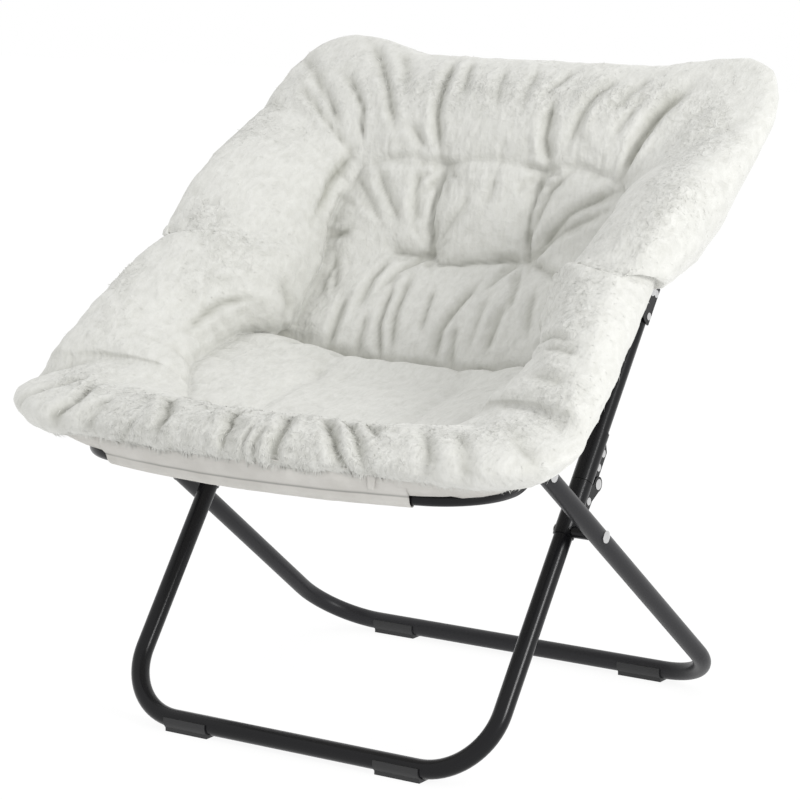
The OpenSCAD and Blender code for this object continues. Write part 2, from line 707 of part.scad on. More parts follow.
function side_roll_section(s) = roll_section(
    side_point(lerp(side_span_shares[0], side_span_shares[1], s) * side_len),
    seat_foot(spline_at(foot_t_shares, s)),
    [sideways, side_up, side_way, table_at(side_lean_shares, s)],
    seat_roll_h * table_at(side_h_shares, s), roll_w * table_at(side_w_shares, s),
    side_tuck_share, seat_clear_r * table_at(side_low_shares, s), seat_clear_r
);
module seat_side_roll() {
    roll_solid(
        [for (s = share_list(side_sections)) side_roll_section(s)],
        roll_middle(side_point(side_span_shares[0] * side_len), seat_roll_h, side_up, side_way,
            seat_roll_h * side_lean_shares[0]),
        roll_middle(side_point(side_span_shares[1] * side_len), seat_roll_h, side_up, side_way, 0)
    );
}
module seat_side_roll_right() { color(fur_white) seat_side_roll(); }
module seat_side_roll_left() { color(fur_white) mirror([1, 0, 0]) seat_side_roll(); }

// The roll over the front bar and round both front corners
foot_round = 2 * soft_gap;
front_foot = seat_line(0);
function turned_foot(phi) = [
    panel_x - soft_gap + foot_round * cos(phi),
    front_foot[0] + soft_gap - foot_round * sin(phi),
    front_foot[1]
];
function front_corner_point(phi) = [
    corner_cx + front_corner_r * cos(phi), corner_cy - front_corner_r * sin(phi), seat_front_z
];
function bow_point(beta, o, n) = [
    (front_bow_r + o) * sin(beta), bow_cy - (front_bow_r + o) * cos(beta), seat_front_z + n
];
upright = [0, 0, 1];
corner_h_shares = [1.3, 1.1, 0.98, 0.92, 0.92];
corner_w_shares = [1.1, 1.18, 1.02, 0.72, 0.46];
front_tuck_shares = [0.35, 0.7];
corner_low_shares = [2.9, 1.8, 1.8, 2.2, 2.6];
corner_steps = 4;
function front_way(phi) = [[cos(phi), -sin(phi), 0], upright, side_way, 0];
bow_h_shares = [0.93, 0.98, 1];
bow_w_shares = [0.4, 0.34, 0.33];
bow_steps = 6;
bow_low_share = 2.6;
// Place of the roll's first section on the seat, and the angles between which the front corner's feet turn
first_foot_share = foot_t_shares[4] - step_share / 2;
front_foot_turn = [6, 80];
front_half = concat(
    [roll_section(side_point(side_len + soft_gap), seat_foot(first_foot_share),
        [sideways, side_up, side_way, 0], seat_roll_h * side_h_shares[4], roll_w * side_w_shares[4],
        side_tuck_share, seat_clear_r * side_low_shares[4], seat_clear_r)],
    [for (s = share_list(corner_steps)) roll_section(
        front_corner_point(s * corner_turn), turned_foot(lerp(front_foot_turn[0], front_foot_turn[1], s)),
        front_way(s * corner_turn),
        front_roll_h * table_at(corner_h_shares, s), roll_w * table_at(corner_w_shares, s),
        table_at(front_tuck_shares, s), seat_clear_r * table_at(corner_low_shares, s), seat_clear_r)],
    [for (i = [1:bow_steps]) let (s = i / bow_steps, turn = bow_half * (1 - s)) roll_section(
        bow_point(turn, 0, 0),
        [(panel_x - soft_gap) * (1 - s), front_foot[0] - soft_gap, front_foot[1]],
        front_way(90 - turn),
        front_roll_h * table_at(bow_h_shares, s), roll_w * table_at(bow_w_shares, s), front_tuck_shares[1],
        seat_clear_r * bow_low_share, seat_clear_r)]
);
function mirrored(p) = [-p[0], p[1], p[2]];
function both_halves(h) = concat(h, [for (i = [len(h) - 2:-1:0]) [for (p = h[i]) mirrored(p)]]);
module seat_front_roll() {
    mid = roll_middle(side_point(side_len + soft_gap), seat_roll_h, side_up, side_way, 0);
    color(fur_white) roll_solid(both_halves(front_half), mid, mirrored(mid));
}

// The roll up both sides of the back and over the top bar
back_up = [0, -back_out[0], -back_out[1]];
back_down = [0, -cos(leg_angle), -sin(leg_angle)];
function back_point(x, a, f) = let (p = leg_point(a, f)) [x, p[0], p[1]];
top_panel_a = back_panel_a[1];
back_h_shares = [1.02, 0.9, 0.74, 0.6, 0.4];
back_w_shares = [1.02, 1.05, 1.06, 1.04, 1];
back_low_shares = [1.5, 0.7, 0, -0.6];
back_tuck_share = 0.35;
back_lean_shares = [0.32, 0.12, 0, 0, 0];
back_side_steps = 5;
back_start_a = hinge_a + 2 * soft_gap;
// The roll's lower end leaves room for the end of the seat tube, which swings round the hinge
swing_r = norm([hinge_end_past_pin + plug_cap_t, seat_r]) + 2 * soft_gap;
back_side_a = concat([back_start_a], [for (i = [0:back_side_steps - 1])
    lerp(hinge_a + swing_r, top_panel_a - 2 * soft_gap, i / (back_side_steps - 1))]);
back_side_low = concat([hinge_f + swing_r, hinge_f + swing_r], back_clear_r * back_low_shares);
panel_top_f = hinge_f * back_line_shares[4];
function back_h(a) = back_roll_h * table_at(back_h_shares, (a - back_start_a) / (top_a - back_start_a));
top_corner_w_shares = [1.04, 1.09, 1.19, 0.76, 0.46];
top_corner_h_shares = [2.1, 1.5, 0.95, 0.85, 1];
top_low_shares = [-0.4, -1.2, -1.9, -1.8, -1.5];
function back_way(phi, lean) = [
    [cos(phi), sin(phi) * cos(leg_angle), sin(phi) * sin(leg_angle)], back_up, back_down, lean
];
function top_foot(phi) = back_point(
    panel_x - soft_gap + foot_round * cos(phi), top_panel_a + foot_round * sin(phi), panel_top_f
);
function side_back_section(i) = let (
    a = back_side_a[i],
    s = (a - back_start_a) / (top_panel_a - back_start_a),
    t = (a - back_panel_a[0]) / (back_panel_a[1] - back_panel_a[0]),
    p = back_line(t)
) roll_section(
    back_point(front_x, a, 0), [panel_x, p[0], p[1]], back_way(0, table_at(back_lean_shares, s)),
    back_h(a), roll_w * table_at(back_w_shares, s), back_tuck_share, back_side_low[i], back_clear_r
);
top_steps = 5;
// Angles between which the top corner's feet turn
top_foot_turn = [10, 80];
back_half = concat(
    [for (i = [0:back_side_steps]) side_back_section(i)],
    [for (s = share_list(corner_steps)) roll_section(
        back_point(front_x - corner_r * (1 - cos(90 * s)), top_a - corner_r * (1 - sin(90 * s)), 0),
        top_foot(lerp(top_foot_turn[0], top_foot_turn[1], s)), back_way(90 * s, 0),
        top_roll_h * table_at(top_corner_h_shares, s),
        roll_w * table_at(top_corner_w_shares, s), lerp(back_tuck_share, 1, s),
        back_clear_r * table_at(top_low_shares, s), back_clear_r)],
    [for (i = [1:top_steps]) let (s = i / top_steps) roll_section(
        back_point((front_x - corner_r) * (1 - s), top_a, 0),
        back_point((panel_x - soft_gap) * (1 - s), top_panel_a + foot_round, panel_top_f), back_way(90, 0),
        top_roll_h, roll_w * top_corner_w_shares[4], 1, back_clear_r * top_low_shares[4], back_clear_r)]
);
module back_roll() {
    lean = back_h(back_start_a) * back_lean_shares[0];
    mid = roll_middle(back_point(front_x, back_start_a, 0), back_h(back_start_a), back_up, back_down, lean);
    from_left = both_halves(back_half);
    color(fur_white) roll_solid([for (i = [len(from_left) - 1:-1:0]) from_left[i]], mirrored(mid), mid);
}

// Cloth under the padding
cloth_cols = 8;
cloth_top = panel_t + soft_gap / 2;
module seat_underside() {
    color(cloth_grey) grid_solid(
        [for (t = share_list(seat_rows)) [for (x = share_list(cloth_cols))
            seat_bottom(2 * x - 1, lerp(front_inset_share, 1, t), cloth_top)]],
        [for (t = share_list(seat_rows)) [for (x = share_list(cloth_cols))
            seat_bottom(2 * x - 1, lerp(front_inset_share, 1, t), cloth_top + cloth_t)]]
    );
}

module back_underside() {
    color(cloth_grey) grid_solid(
        [for (t = share_list(back_rows)) [for (x = share_list(cloth_cols))
            back_bottom(2 * x - 1, t, cloth_top)]],
        [for (t = share_list(back_rows)) [for (x = share_list(cloth_cols))
            back_bottom(2 * x - 1, t, cloth_top + cloth_t)]]
    );
}

// Sewn sleeves round the tubes, open where the rivets and the corners are
module seat_side_sleeves() {
    color(cloth_grey) both_sides()
        seat_path_side(sleeve_r, seat_r + seat_gap, side_len * 0.14, -side_len * 0.12);
}

front_sleeve_share = 0.95;
module front_sleeve() {
    color(cloth_grey) seat_path_bow(sleeve_r, seat_r + seat_gap, bow_half * front_sleeve_share);
}

module back_side_sleeves() {
    low = hinge_a + hinge_rivet_spread * hinge_foot_share + 2 * side_gap;
    color(cloth_grey) both_sides() in_front_leg() translate([front_x, 0, 0])
        tube_along(low, top_a - corner_r, leg_r + seat_gap + cloth_t, leg_r + seat_gap);
}

module top_sleeve() {
    half = front_x - corner_r;
    color(cloth_grey) in_front_leg() translate([0, top_a, 0]) rotate([0, 0, -90])
        tube_along(-half, half, leg_r + seat_gap + cloth_t, leg_r + seat_gap);
}

// The loose cloth between the front sleeve and the fur's lower edge
skirt_cols = 24;
skirt_rows = 3;
skirt_out_shares = [1.08, 1.5, 1.75, 1.95];
function skirt_point(x, t, d) = bow_point(
    bow_half * front_sleeve_share * (2 * x - 1),
    sleeve_r * table_at(skirt_out_shares, t) + side_gap + d,
    (seat_clear_r * bow_low_share - side_gap) * t
);
module front_skirt() {
    color(cloth_grey) grid_solid(
        [for (t = share_list(skirt_rows)) [for (x = share_list(skirt_cols)) skirt_point(x, t, cloth_t)]],
        [for (t = share_list(skirt_rows)) [for (x = share_list(skirt_cols)) skirt_point(x, t, 0)]]
    );
}

front_leg_tube();
rear_leg_tube();
back_ring_tube();
seat_ring_tube();
lower_knee_bracket_left();
lower_knee_bracket_right();
upper_knee_bracket_left();
upper_knee_bracket_right();
knee_pins();
lower_bracket_rivets();
upper_bracket_rivets();
cross_rivets();
cross_spacers();
seat_pivot_rivets();
seat_pivot_washers();
seat_hinge_bracket_left();
seat_hinge_bracket_right();
hinge_bracket_rivets();
seat_hinge_pins();
rear_leg_plugs();
seat_tube_plugs();
front_foot_left();
front_foot_right();
rear_foot_left();
rear_foot_right();
seat_panel();
seat_front_roll();
seat_side_roll_left();
seat_side_roll_right();
lumbar_fold();
back_panel();
back_roll();
seat_underside();
back_underside();
front_sleeve();
front_skirt();
seat_side_sleeves();
back_side_sleeves();
top_sleeve();
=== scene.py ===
"""Looks of the folding saucer chair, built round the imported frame. Lengths are in mm until a mesh is made."""
import math

import bpy
import numpy as np
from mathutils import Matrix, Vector


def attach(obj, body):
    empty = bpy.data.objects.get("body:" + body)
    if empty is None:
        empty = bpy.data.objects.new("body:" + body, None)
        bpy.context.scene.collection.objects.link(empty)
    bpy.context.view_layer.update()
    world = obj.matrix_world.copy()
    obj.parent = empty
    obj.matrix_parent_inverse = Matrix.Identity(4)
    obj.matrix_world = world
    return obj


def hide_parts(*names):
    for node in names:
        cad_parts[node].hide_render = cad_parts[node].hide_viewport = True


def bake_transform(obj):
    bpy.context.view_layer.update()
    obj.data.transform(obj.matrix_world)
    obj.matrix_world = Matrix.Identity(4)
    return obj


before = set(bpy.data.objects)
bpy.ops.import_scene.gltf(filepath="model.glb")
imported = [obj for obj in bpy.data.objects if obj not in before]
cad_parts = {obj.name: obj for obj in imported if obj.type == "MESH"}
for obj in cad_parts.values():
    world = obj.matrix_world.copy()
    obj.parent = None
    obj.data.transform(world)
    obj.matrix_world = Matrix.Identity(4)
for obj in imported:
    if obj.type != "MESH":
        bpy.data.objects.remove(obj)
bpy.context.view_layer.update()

MM = 0.001
TINY = 1e-9
rng = np.random.default_rng(7)
scene = bpy.context.scene

# Sizes of the frame and the padding. Three heights of rolls differ from the CAD source: seat, back and top.
LEG_ANGLE, REAR_ANGLE = math.radians(53.45), math.radians(37.85)
CROSS = np.array([-41.6, 258.1])
FRONT_X, SEAT_X = 249.5, 271.3
LEG_R, SEAT_R = 11.0, 8.0
KNEE_ALONG, KNEE_A, KNEE_BACK = 61.8, 74.4, 31.0
PIVOT_ALONG, HINGE_ALONG = 148.2, 232.0
SEAT_Z, SEAT_Y = 336.0, -309.0
BOW_R, CORNER_R = 812.0, 80.0
BACK_LEN = 514.0
PANEL_T = 30.0
SEAT_CLEAR, BACK_CLEAR = 9.5, 12.5
SEAT_ROLL_H, FRONT_ROLL_H, BACK_ROLL_H, TOP_ROLL_H, ROLL_W = 95.0, 62.0, 148.0, 26.0, 90.0
ROLL_ROUND = 60.0


# Smooth tables

def catmull(v, t):
    """Smooth value from an evenly spaced table at shares t; rows of the table may be vectors."""
    v, t = np.asarray(v, float), np.asarray(t, float)
    n = len(v) - 1
    s = np.clip(t, 0, 1) * n
    i = np.minimum(s.astype(int), n - 1)
    f = s - i
    f = f.reshape(f.shape + (1,) * (v.ndim - 1))
    a, b, c, d = v[np.maximum(i - 1, 0)], v[i], v[i + 1], v[np.minimum(i + 2, n)]
    square, cube = 2 * a - 5 * b + 4 * c - d, 3 * b - a - 3 * c + d
    return 0.5 * (2 * b + (c - a) * f + square * f ** 2 + cube * f ** 3)


def table(v, s):
    """Straight-line value from an evenly spaced table."""
    return float(np.interp(s, np.linspace(0, 1, len(v)), v))


def unit(v):
    """Vectors of length 1 in the same directions."""
    return v / np.linalg.norm(v, axis=-1, keepdims=True)


def run_along(points):
    """Length along a chain of points up to each of them."""
    return np.concatenate([[0], np.cumsum(np.linalg.norm(np.diff(points, axis=0), axis=1))])


def eased(x, xs, ys, width):
    """Straight-line table averaged over a short window, so that its corners are round."""
    offsets = np.linspace(-width, width, 7)
    return sum(np.interp(x + o, xs, ys) for o in offsets) / len(offsets)


def noise(p, size, seed):
    """Smooth random value from -1 to 1 at each point, with lumps of the given size."""
    q = np.asarray(p, float) / size
    base = np.floor(q).astype(np.int64)
    f = q - base
    f = f * f * (3 - 2 * f)
    out = np.zeros(len(q))
    for corner in np.ndindex(2, 2, 2):
        c = base + corner
        h = (c[:, 0] * 73856093) ^ (c[:, 1] * 19349663) ^ (c[:, 2] * 83492791) ^ (seed * 2654435761)
        h = (h ^ (h >> 13)) * 1274126177 & 0xFFFFFFFF
        value = (h ^ (h >> 16)) % 65536 / 32767.5 - 1
        weight = np.ones(len(q))
        for axis in range(3):
            weight *= f[:, axis] if corner[axis] else 1 - f[:, axis]
        out += value * weight
    return out


# The frame's places in the side view

def leg_point(a, f):
    """Place (y, z) at length a along the front leg and back tube, f in front of it."""
    c, s = math.cos(LEG_ANGLE), math.sin(LEG_ANGLE)
    return np.stack([CROSS[0] + a * c - f * s, CROSS[1] + a * s + f * c], -1)


turn = math.pi - REAR_ANGLE - LEG_ANGLE
PIVOT_A, PIVOT_F = PIVOT_ALONG * math.cos(turn), PIVOT_ALONG * math.sin(turn)
HINGE_A = KNEE_ALONG + HINGE_ALONG
CLOSED_A = 2 * KNEE_A - HINGE_A - PIVOT_ALONG
HINGE_F = (HINGE_A - PIVOT_A) ** 2 + PIVOT_F ** 2 - CLOSED_A ** 2 - (2 * KNEE_BACK) ** 2
HINGE_F /= 4 * KNEE_BACK + 2 * PIVOT_F
HINGE, PIVOT = leg_point(HINGE_A, HINGE_F), leg_point(PIVOT_A, PIVOT_F)
SIDE_LEN = float(np.linalg.norm(HINGE - PIVOT))
SIDE_ANGLE = math.atan2(HINGE[1] - PIVOT[1], HINGE[0] - PIVOT[0])
TOP_A = KNEE_ALONG + BACK_LEN
BOW_CY = SEAT_Y + BOW_R
CORNER_CX = SEAT_X - CORNER_R
BOW_HALF = math.asin(CORNER_CX / (BOW_R - CORNER_R))
CORNER_CY = BOW_CY - (BOW_R - CORNER_R) * math.cos(BOW_HALF)
CORNER_TURN = math.pi / 2 - BOW_HALF
DISH = HINGE - np.array([SEAT_Y, SEAT_Z])

# The padding's middle line in the side view, from the front edge through the crease to the top edge
SEAT_LINE = [(0.29, 0.2), (0.42, 0.235), (0.56, 0.28), (0.7, 0.335), (0.8, 0.385),
             (0.855, 0.43), (0.905, 0.52), (0.965, 0.68), (1.013, 0.793)]
BACK_LINE = [0, 0.07, 0.26, 0.54, 0.84]
BACK_A0, BACK_A1 = HINGE_A + 0.8, KNEE_ALONG + BACK_LEN * 0.745
SEAT_END, BACK_START = 0.94, 0.06
seat_shares, back_shares = np.linspace(0, SEAT_END, 60), np.linspace(BACK_START, 1, 60)
seat_part = np.array([SEAT_Y, SEAT_Z]) + catmull(SEAT_LINE, seat_shares) * DISH
back_part = leg_point(BACK_A0 + (BACK_A1 - BACK_A0) * back_shares, HINGE_F * catmull(BACK_LINE, back_shares))
line = np.concatenate([seat_part, back_part])
for _ in range(3):
    line[1:-1] = (line[:-2] + 2 * line[1:-1] + line[2:]) / 4
run = run_along(line)
LINE_LEN = run[-1]
# The line goes on a little past both ends, for the tufted edge's arcs
OVER = 30.0
first, last = line[0] - line[1], line[-1] - line[-2]
line = np.concatenate([[line[0] + OVER * first / np.linalg.norm(first)], line,
                       [line[-1] + OVER * last / np.linalg.norm(last)]])
run = np.concatenate([[-OVER], run, [LINE_LEN + OVER]])
LINE_STEP = 6


def line_at(v):
    """Side view place (y, z) at length v along the padding."""
    return np.stack([np.interp(v, run, line[:, 0]), np.interp(v, run, line[:, 1])], -1)


def line_in(v):
    """Unit direction in the side view from the padding into the dish, as a vector in space."""
    d = unit(line_at(np.asarray(v) + LINE_STEP) - line_at(np.asarray(v) - LINE_STEP))
    return np.stack([np.zeros(d.shape[:-1]), -d[..., 1], d[..., 0]], -1)


def seat_length(share):
    return float(np.interp(share, seat_shares, run[1:61]))


def back_length(a):
    return float(np.interp((a - BACK_A0) / (BACK_A1 - BACK_A0), back_shares, run[61:121]))


# Stations round half the rim, from the middle of the front bar to the middle of the top bar

SIDE_UP = np.array([0, -math.sin(SIDE_ANGLE), math.cos(SIDE_ANGLE)])
SIDE_BACK = np.array([0, -math.cos(SIDE_ANGLE), -math.sin(SIDE_ANGLE)])
BACK_UP = np.array([0, -math.sin(LEG_ANGLE), math.cos(LEG_ANGLE)])
BACK_DOWN = np.array([0, -math.cos(LEG_ANGLE), -math.sin(LEG_ANGLE)])
UPRIGHT = np.array([0, 0, 1.0])
SIDEWAYS = np.array([1.0, 0, 0])
EDGE_V = [0, 45, 85, 150, 205, 250, 330, 408, 470, 513]
EDGE_X = [190, 206, 222, 228, 222, 198, 198, 213, 206, 198]
FOOT_ROUND = 46.0


def edge_x(v):
    """Half the panel's width at length v: wide over the seat, drawn in at the crease."""
    return eased(v, EDGE_V, EDGE_X, 16)


def side_point(d):
    return np.array([SEAT_X, HINGE[0] - d * math.cos(SIDE_ANGLE), HINGE[1] - d * math.sin(SIDE_ANGLE)])


def back_point(x, a):
    return np.array([x, *leg_point(a, 0)])


BAR_STEPS, CORNER_STEPS, SIDE_STEPS, BACK_STEPS = 6, 9, 10, 9
stations = []


def station(length, centre, out, up, back, lean, h, w, tuck, low, rt):
    """Adds a station: the panel's length there or None, then the tube's place and directions and the roll."""
    stations.append((length, np.concatenate([centre, out, up, back, [lean, h, w, tuck, low, rt]])))


for i in range(BAR_STEPS, 0, -1):
    s = i / BAR_STEPS
    beta = BOW_HALF * (1 - s)
    out = np.array([math.sin(beta), -math.cos(beta), 0])
    station(None, np.array([0, BOW_CY, SEAT_Z]) + BOW_R * out, out, UPRIGHT, SIDE_BACK, 0,
            FRONT_ROLL_H * table([0.93, 0.98, 1], s), ROLL_W * table([0.4, 0.34, 0.33], s), 0.7,
            SEAT_CLEAR * 2.6, SEAT_CLEAR)
for i in range(CORNER_STEPS - 1, -1, -1):
    s = i / (CORNER_STEPS - 1)
    phi = s * CORNER_TURN
    out = np.array([math.cos(phi), -math.sin(phi), 0])
    station(None, np.array([CORNER_CX, CORNER_CY, SEAT_Z]) + CORNER_R * out, out, UPRIGHT, SIDE_BACK, 0,
            FRONT_ROLL_H * table([1.3, 1.1, 0.98, 0.92, 0.92], s),
            ROLL_W * table([1.1, 1.18, 1.02, 0.72, 0.46], s), table([0.35, 0.7], s),
            SEAT_CLEAR * table([2.9, 1.8, 1.8, 2.2, 2.6], s), SEAT_CLEAR)
for i in range(SIDE_STEPS - 1, -1, -1):
    s = i / (SIDE_STEPS - 1)
    v = max(seat_length(float(catmull([1, 0.7, 0.4, 0.22, 0.04], s)) * SEAT_END), FOOT_ROUND + 12 - 8 * s)
    station(v, side_point((0.06 + 0.94 * s) * SIDE_LEN), SIDEWAYS, SIDE_UP, SIDE_BACK,
            table([0.6, 0.4, 0.2, 0.08, 0], s), SEAT_ROLL_H * table([1.1, 1.12, 1.12, 1.08, 1.02], s),
            ROLL_W * table([0.56, 0.76, 0.95, 1.05, 1.1], s), 0.35,
            SEAT_CLEAR * table([1.4, 1.4, 1.6, 2.1, 3.1], s), SEAT_CLEAR)
START_A = HINGE_A + 1.6
for i in range(BACK_STEPS):
    s = i / (BACK_STEPS - 1)
    a = START_A + s * (BACK_A1 - FOOT_ROUND - 6 - START_A)
    h = BACK_ROLL_H * table([1.08, 0.92, 0.74, 0.6, 0.4], (a - START_A) / (TOP_A - START_A))
    station(min(back_length(a) + 8 * (1 - s), LINE_LEN - FOOT_ROUND - 4), back_point(FRONT_X, a), SIDEWAYS,
            BACK_UP, BACK_DOWN, table([0.32, 0.12, 0, 0, 0], s), h,
            ROLL_W * table([0.98, 1.05, 1.1, 1.12, 1.12], s), 0.35,
            BACK_CLEAR * table([4.9, 3.2, 0.9, 0.6, 0, -0.6], s), BACK_CLEAR)
for i in range(CORNER_STEPS + BAR_STEPS):
    s = min(i / (CORNER_STEPS - 1), 1)
    along = max(i - CORNER_STEPS + 1, 0) / BAR_STEPS
    phi = s * math.pi / 2
    x = (FRONT_X - CORNER_R * (1 - math.cos(phi))) * (1 - along)
    out = np.array([math.cos(phi), math.sin(phi) * math.cos(LEG_ANGLE), math.sin(phi) * math.sin(LEG_ANGLE)])
    station(None, back_point(x, TOP_A - CORNER_R * (1 - math.sin(phi))), out, BACK_UP, BACK_DOWN, 0,
            TOP_ROLL_H * table([2.2, 1.5, 0.95, 0.8, 1], s), ROLL_W * table([1.12, 1.2, 1.29, 0.8, 0.46], s),
            0.35 + 0.65 * s, BACK_CLEAR * table([-0.4, -1.2, -1.9, -1.8, -1.5], s), BACK_CLEAR)
side_lengths = [s[0] for s in stations]
stations = np.array([s[1] for s in stations])
LAST = len(stations) - 1
BULGE_AT, BULGE = [0, 14, 18, 21, 24, 28, 33, 38, LAST], [0.2, 0.25, 0.45, 0.8, 0.95, 0.8, 0.55, 0.3, 0.25]


def station_values(st):
    """Station values at whole or part numbers, with the kinks between them eased."""
    rows = np.stack([eased(st, np.arange(LAST + 1), column, 0.6) for column in stations.T], -1)
    for k in (3, 6, 9):
        rows[:, k:k + 3] = unit(rows[:, k:k + 3])
    return rows


# The panel between the rolls, as a grid

PANEL_W = 400
TUFT_X, TUFT_V = 69.0, 404.0
ARC_H = 9.0
CUP_V = [-20, 0, 45, 85, 190, 235, 262, 600]
CUP_H = [8, 10, 24, 34, 36, 20, 4, 0]


def panel_points(x_share, v):
    """Places on the padding, with its rounded corners, arcs between the top tufts and raised seat edges."""
    edge = edge_x(v)
    x = x_share * edge
    for top in (False, True):
        d = (LINE_LEN - v) if top else v
        q = edge * (1 - np.abs(x_share))
        near = np.clip(1 - q / (2.2 * FOOT_ROUND), 0, 1) * np.clip(1 - d / (2.2 * FOOT_ROUND), 0, 1)
        pull = FOOT_ROUND * 0.29 * near ** 1.6
        x = x - np.sign(x) * pull
        v = v - pull if top else v + pull
    cells = np.where(np.abs(x) < TUFT_X, 0.5 + x / (2 * TUFT_X), (np.abs(x) - TUFT_X) / (198 - TUFT_X))
    v = v + ARC_H * np.sin(math.pi * np.clip(cells, 0, 1)) * np.clip((v - LINE_LEN + 60) / 60, 0, 1) ** 2
    yz = line_at(v)
    side = np.clip((np.abs(x_share) - 0.4) / 0.6, 0, 1)
    cup = np.interp(v, CUP_V, CUP_H) * side * side * (3 - 2 * side)
    return np.stack([x, yz[..., 0], yz[..., 1]], -1) + line_in(v) * cup[..., None], x, v


def loop_stations(loop, ny, x, v):
    """Station number of each place on the right half of the panel's edge."""
    rows = np.array([i for i, _ in loop])
    lx, lv = np.abs(x[tuple(np.array(loop).T)]), v[tuple(np.array(loop).T)]
    sided = [k for k, s in enumerate(side_lengths) if s is not None]
    lengths = [side_lengths[k] for k in sided]
    on_side = (rows > 0) & (rows < ny) & (lv > lengths[0]) & (lv < lengths[-1])
    low, high = np.where(on_side)[0][[0, -1]]
    st = np.zeros(len(loop))
    st[low:high + 1] = np.interp(lv[low:high + 1], lengths, sided)
    flat = EDGE_X[0] - FOOT_ROUND
    front = int((lx[:low] < flat).sum())
    st[:front] = lx[:front] / flat * (BAR_STEPS - 1)
    st[front:low] = np.linspace(st[front - 1], st[low], low - front + 2)[1:-1]
    ends = np.where(lx[high + 1:] < flat)[0][0] + high + 1
    st[ends:] = LAST - lx[ends:] / flat * (BAR_STEPS - 1)
    st[high + 1:ends] = np.linspace(st[high], st[ends], ends - high + 1)[1:-1]
    return st


def roll_section(q):
    """One station's roll: a function from lengths out and up to places, then its sizes and its lip."""
    c, out, up, back = q[:3], q[3:6], q[6:9], q[9:12]
    lean, h, w, tuck, low, rt = q[12:]

    def spot(o, n):
        return c + out * o + up * n + back * (lean * max(n, 0))
    return spot, h, w, low, rt, max(w * tuck, 1.3 * rt)


def fur_section(foot, q, bulge, r):
    """Points over one roll, from the panel's edge over the crest to the turned-in lower edge."""
    out, up = q[3:6], q[6:9]
    spot, h, w, low, _, lip = roll_section(q)
    crest = spot(w - 0.42 * ROLL_ROUND, h)
    chord = crest - foot
    rise = up * abs(chord @ out) - out * abs(chord @ up)
    rise *= bulge * ROLL_ROUND / np.linalg.norm(rise)
    control = np.array([
        foot, foot + chord * 0.09 + rise * 0.5, foot + chord * 0.32 + rise, foot + chord * 0.7 + rise * 0.7,
        crest, spot(w - 0.1 * ROLL_ROUND, low + (h - low) * 0.86), spot(w, low + (h - low) * 0.58),
        spot(lip + (w - lip) * 0.62, low + (h - low) * 0.2), spot(lip, low), spot(lip - 9, low + 5)])
    return evenly(control, r)


def cloth_section(foot, q, _, r):
    """Points of the cloth below one roll, from the panel's underside past the tube to the fur's edge."""
    spot, _, w, low, rt, lip = roll_section(q)
    control = np.array([
        foot, spot(-1.3 * rt, -0.1 * rt), spot(-0.85 * rt, 0.75 * rt), spot(0, 1.12 * rt),
        spot(0.85 * rt, 0.8 * rt), spot(1.22 * rt, 0.2 * max(low, rt)),
        spot(1.4 * rt + 0.4 * (lip - 1.4 * rt), 0.55 * low),
        spot(lip - 4, low + 1), spot(lip + min(10, 0.3 * (w - lip)), low + 8)])
    return evenly(control, r)


def evenly(control, r, steps=81):
    """Smooth curve through control points, sampled at shares of its length, and that length."""
    fine = catmull(control, np.linspace(0, 1, steps))
    s = run_along(fine)
    return np.stack([np.interp(r * s[-1], s, column) for column in fine.T], -1), s[-1]


def diagonal_cross(f, p):
    """Cross product of each face's diagonals: twice the face's area, along its normal."""
    return np.cross(p[f[:, 2]] - p[f[:, 0]], p[f[:, 3]] - p[f[:, 1]])


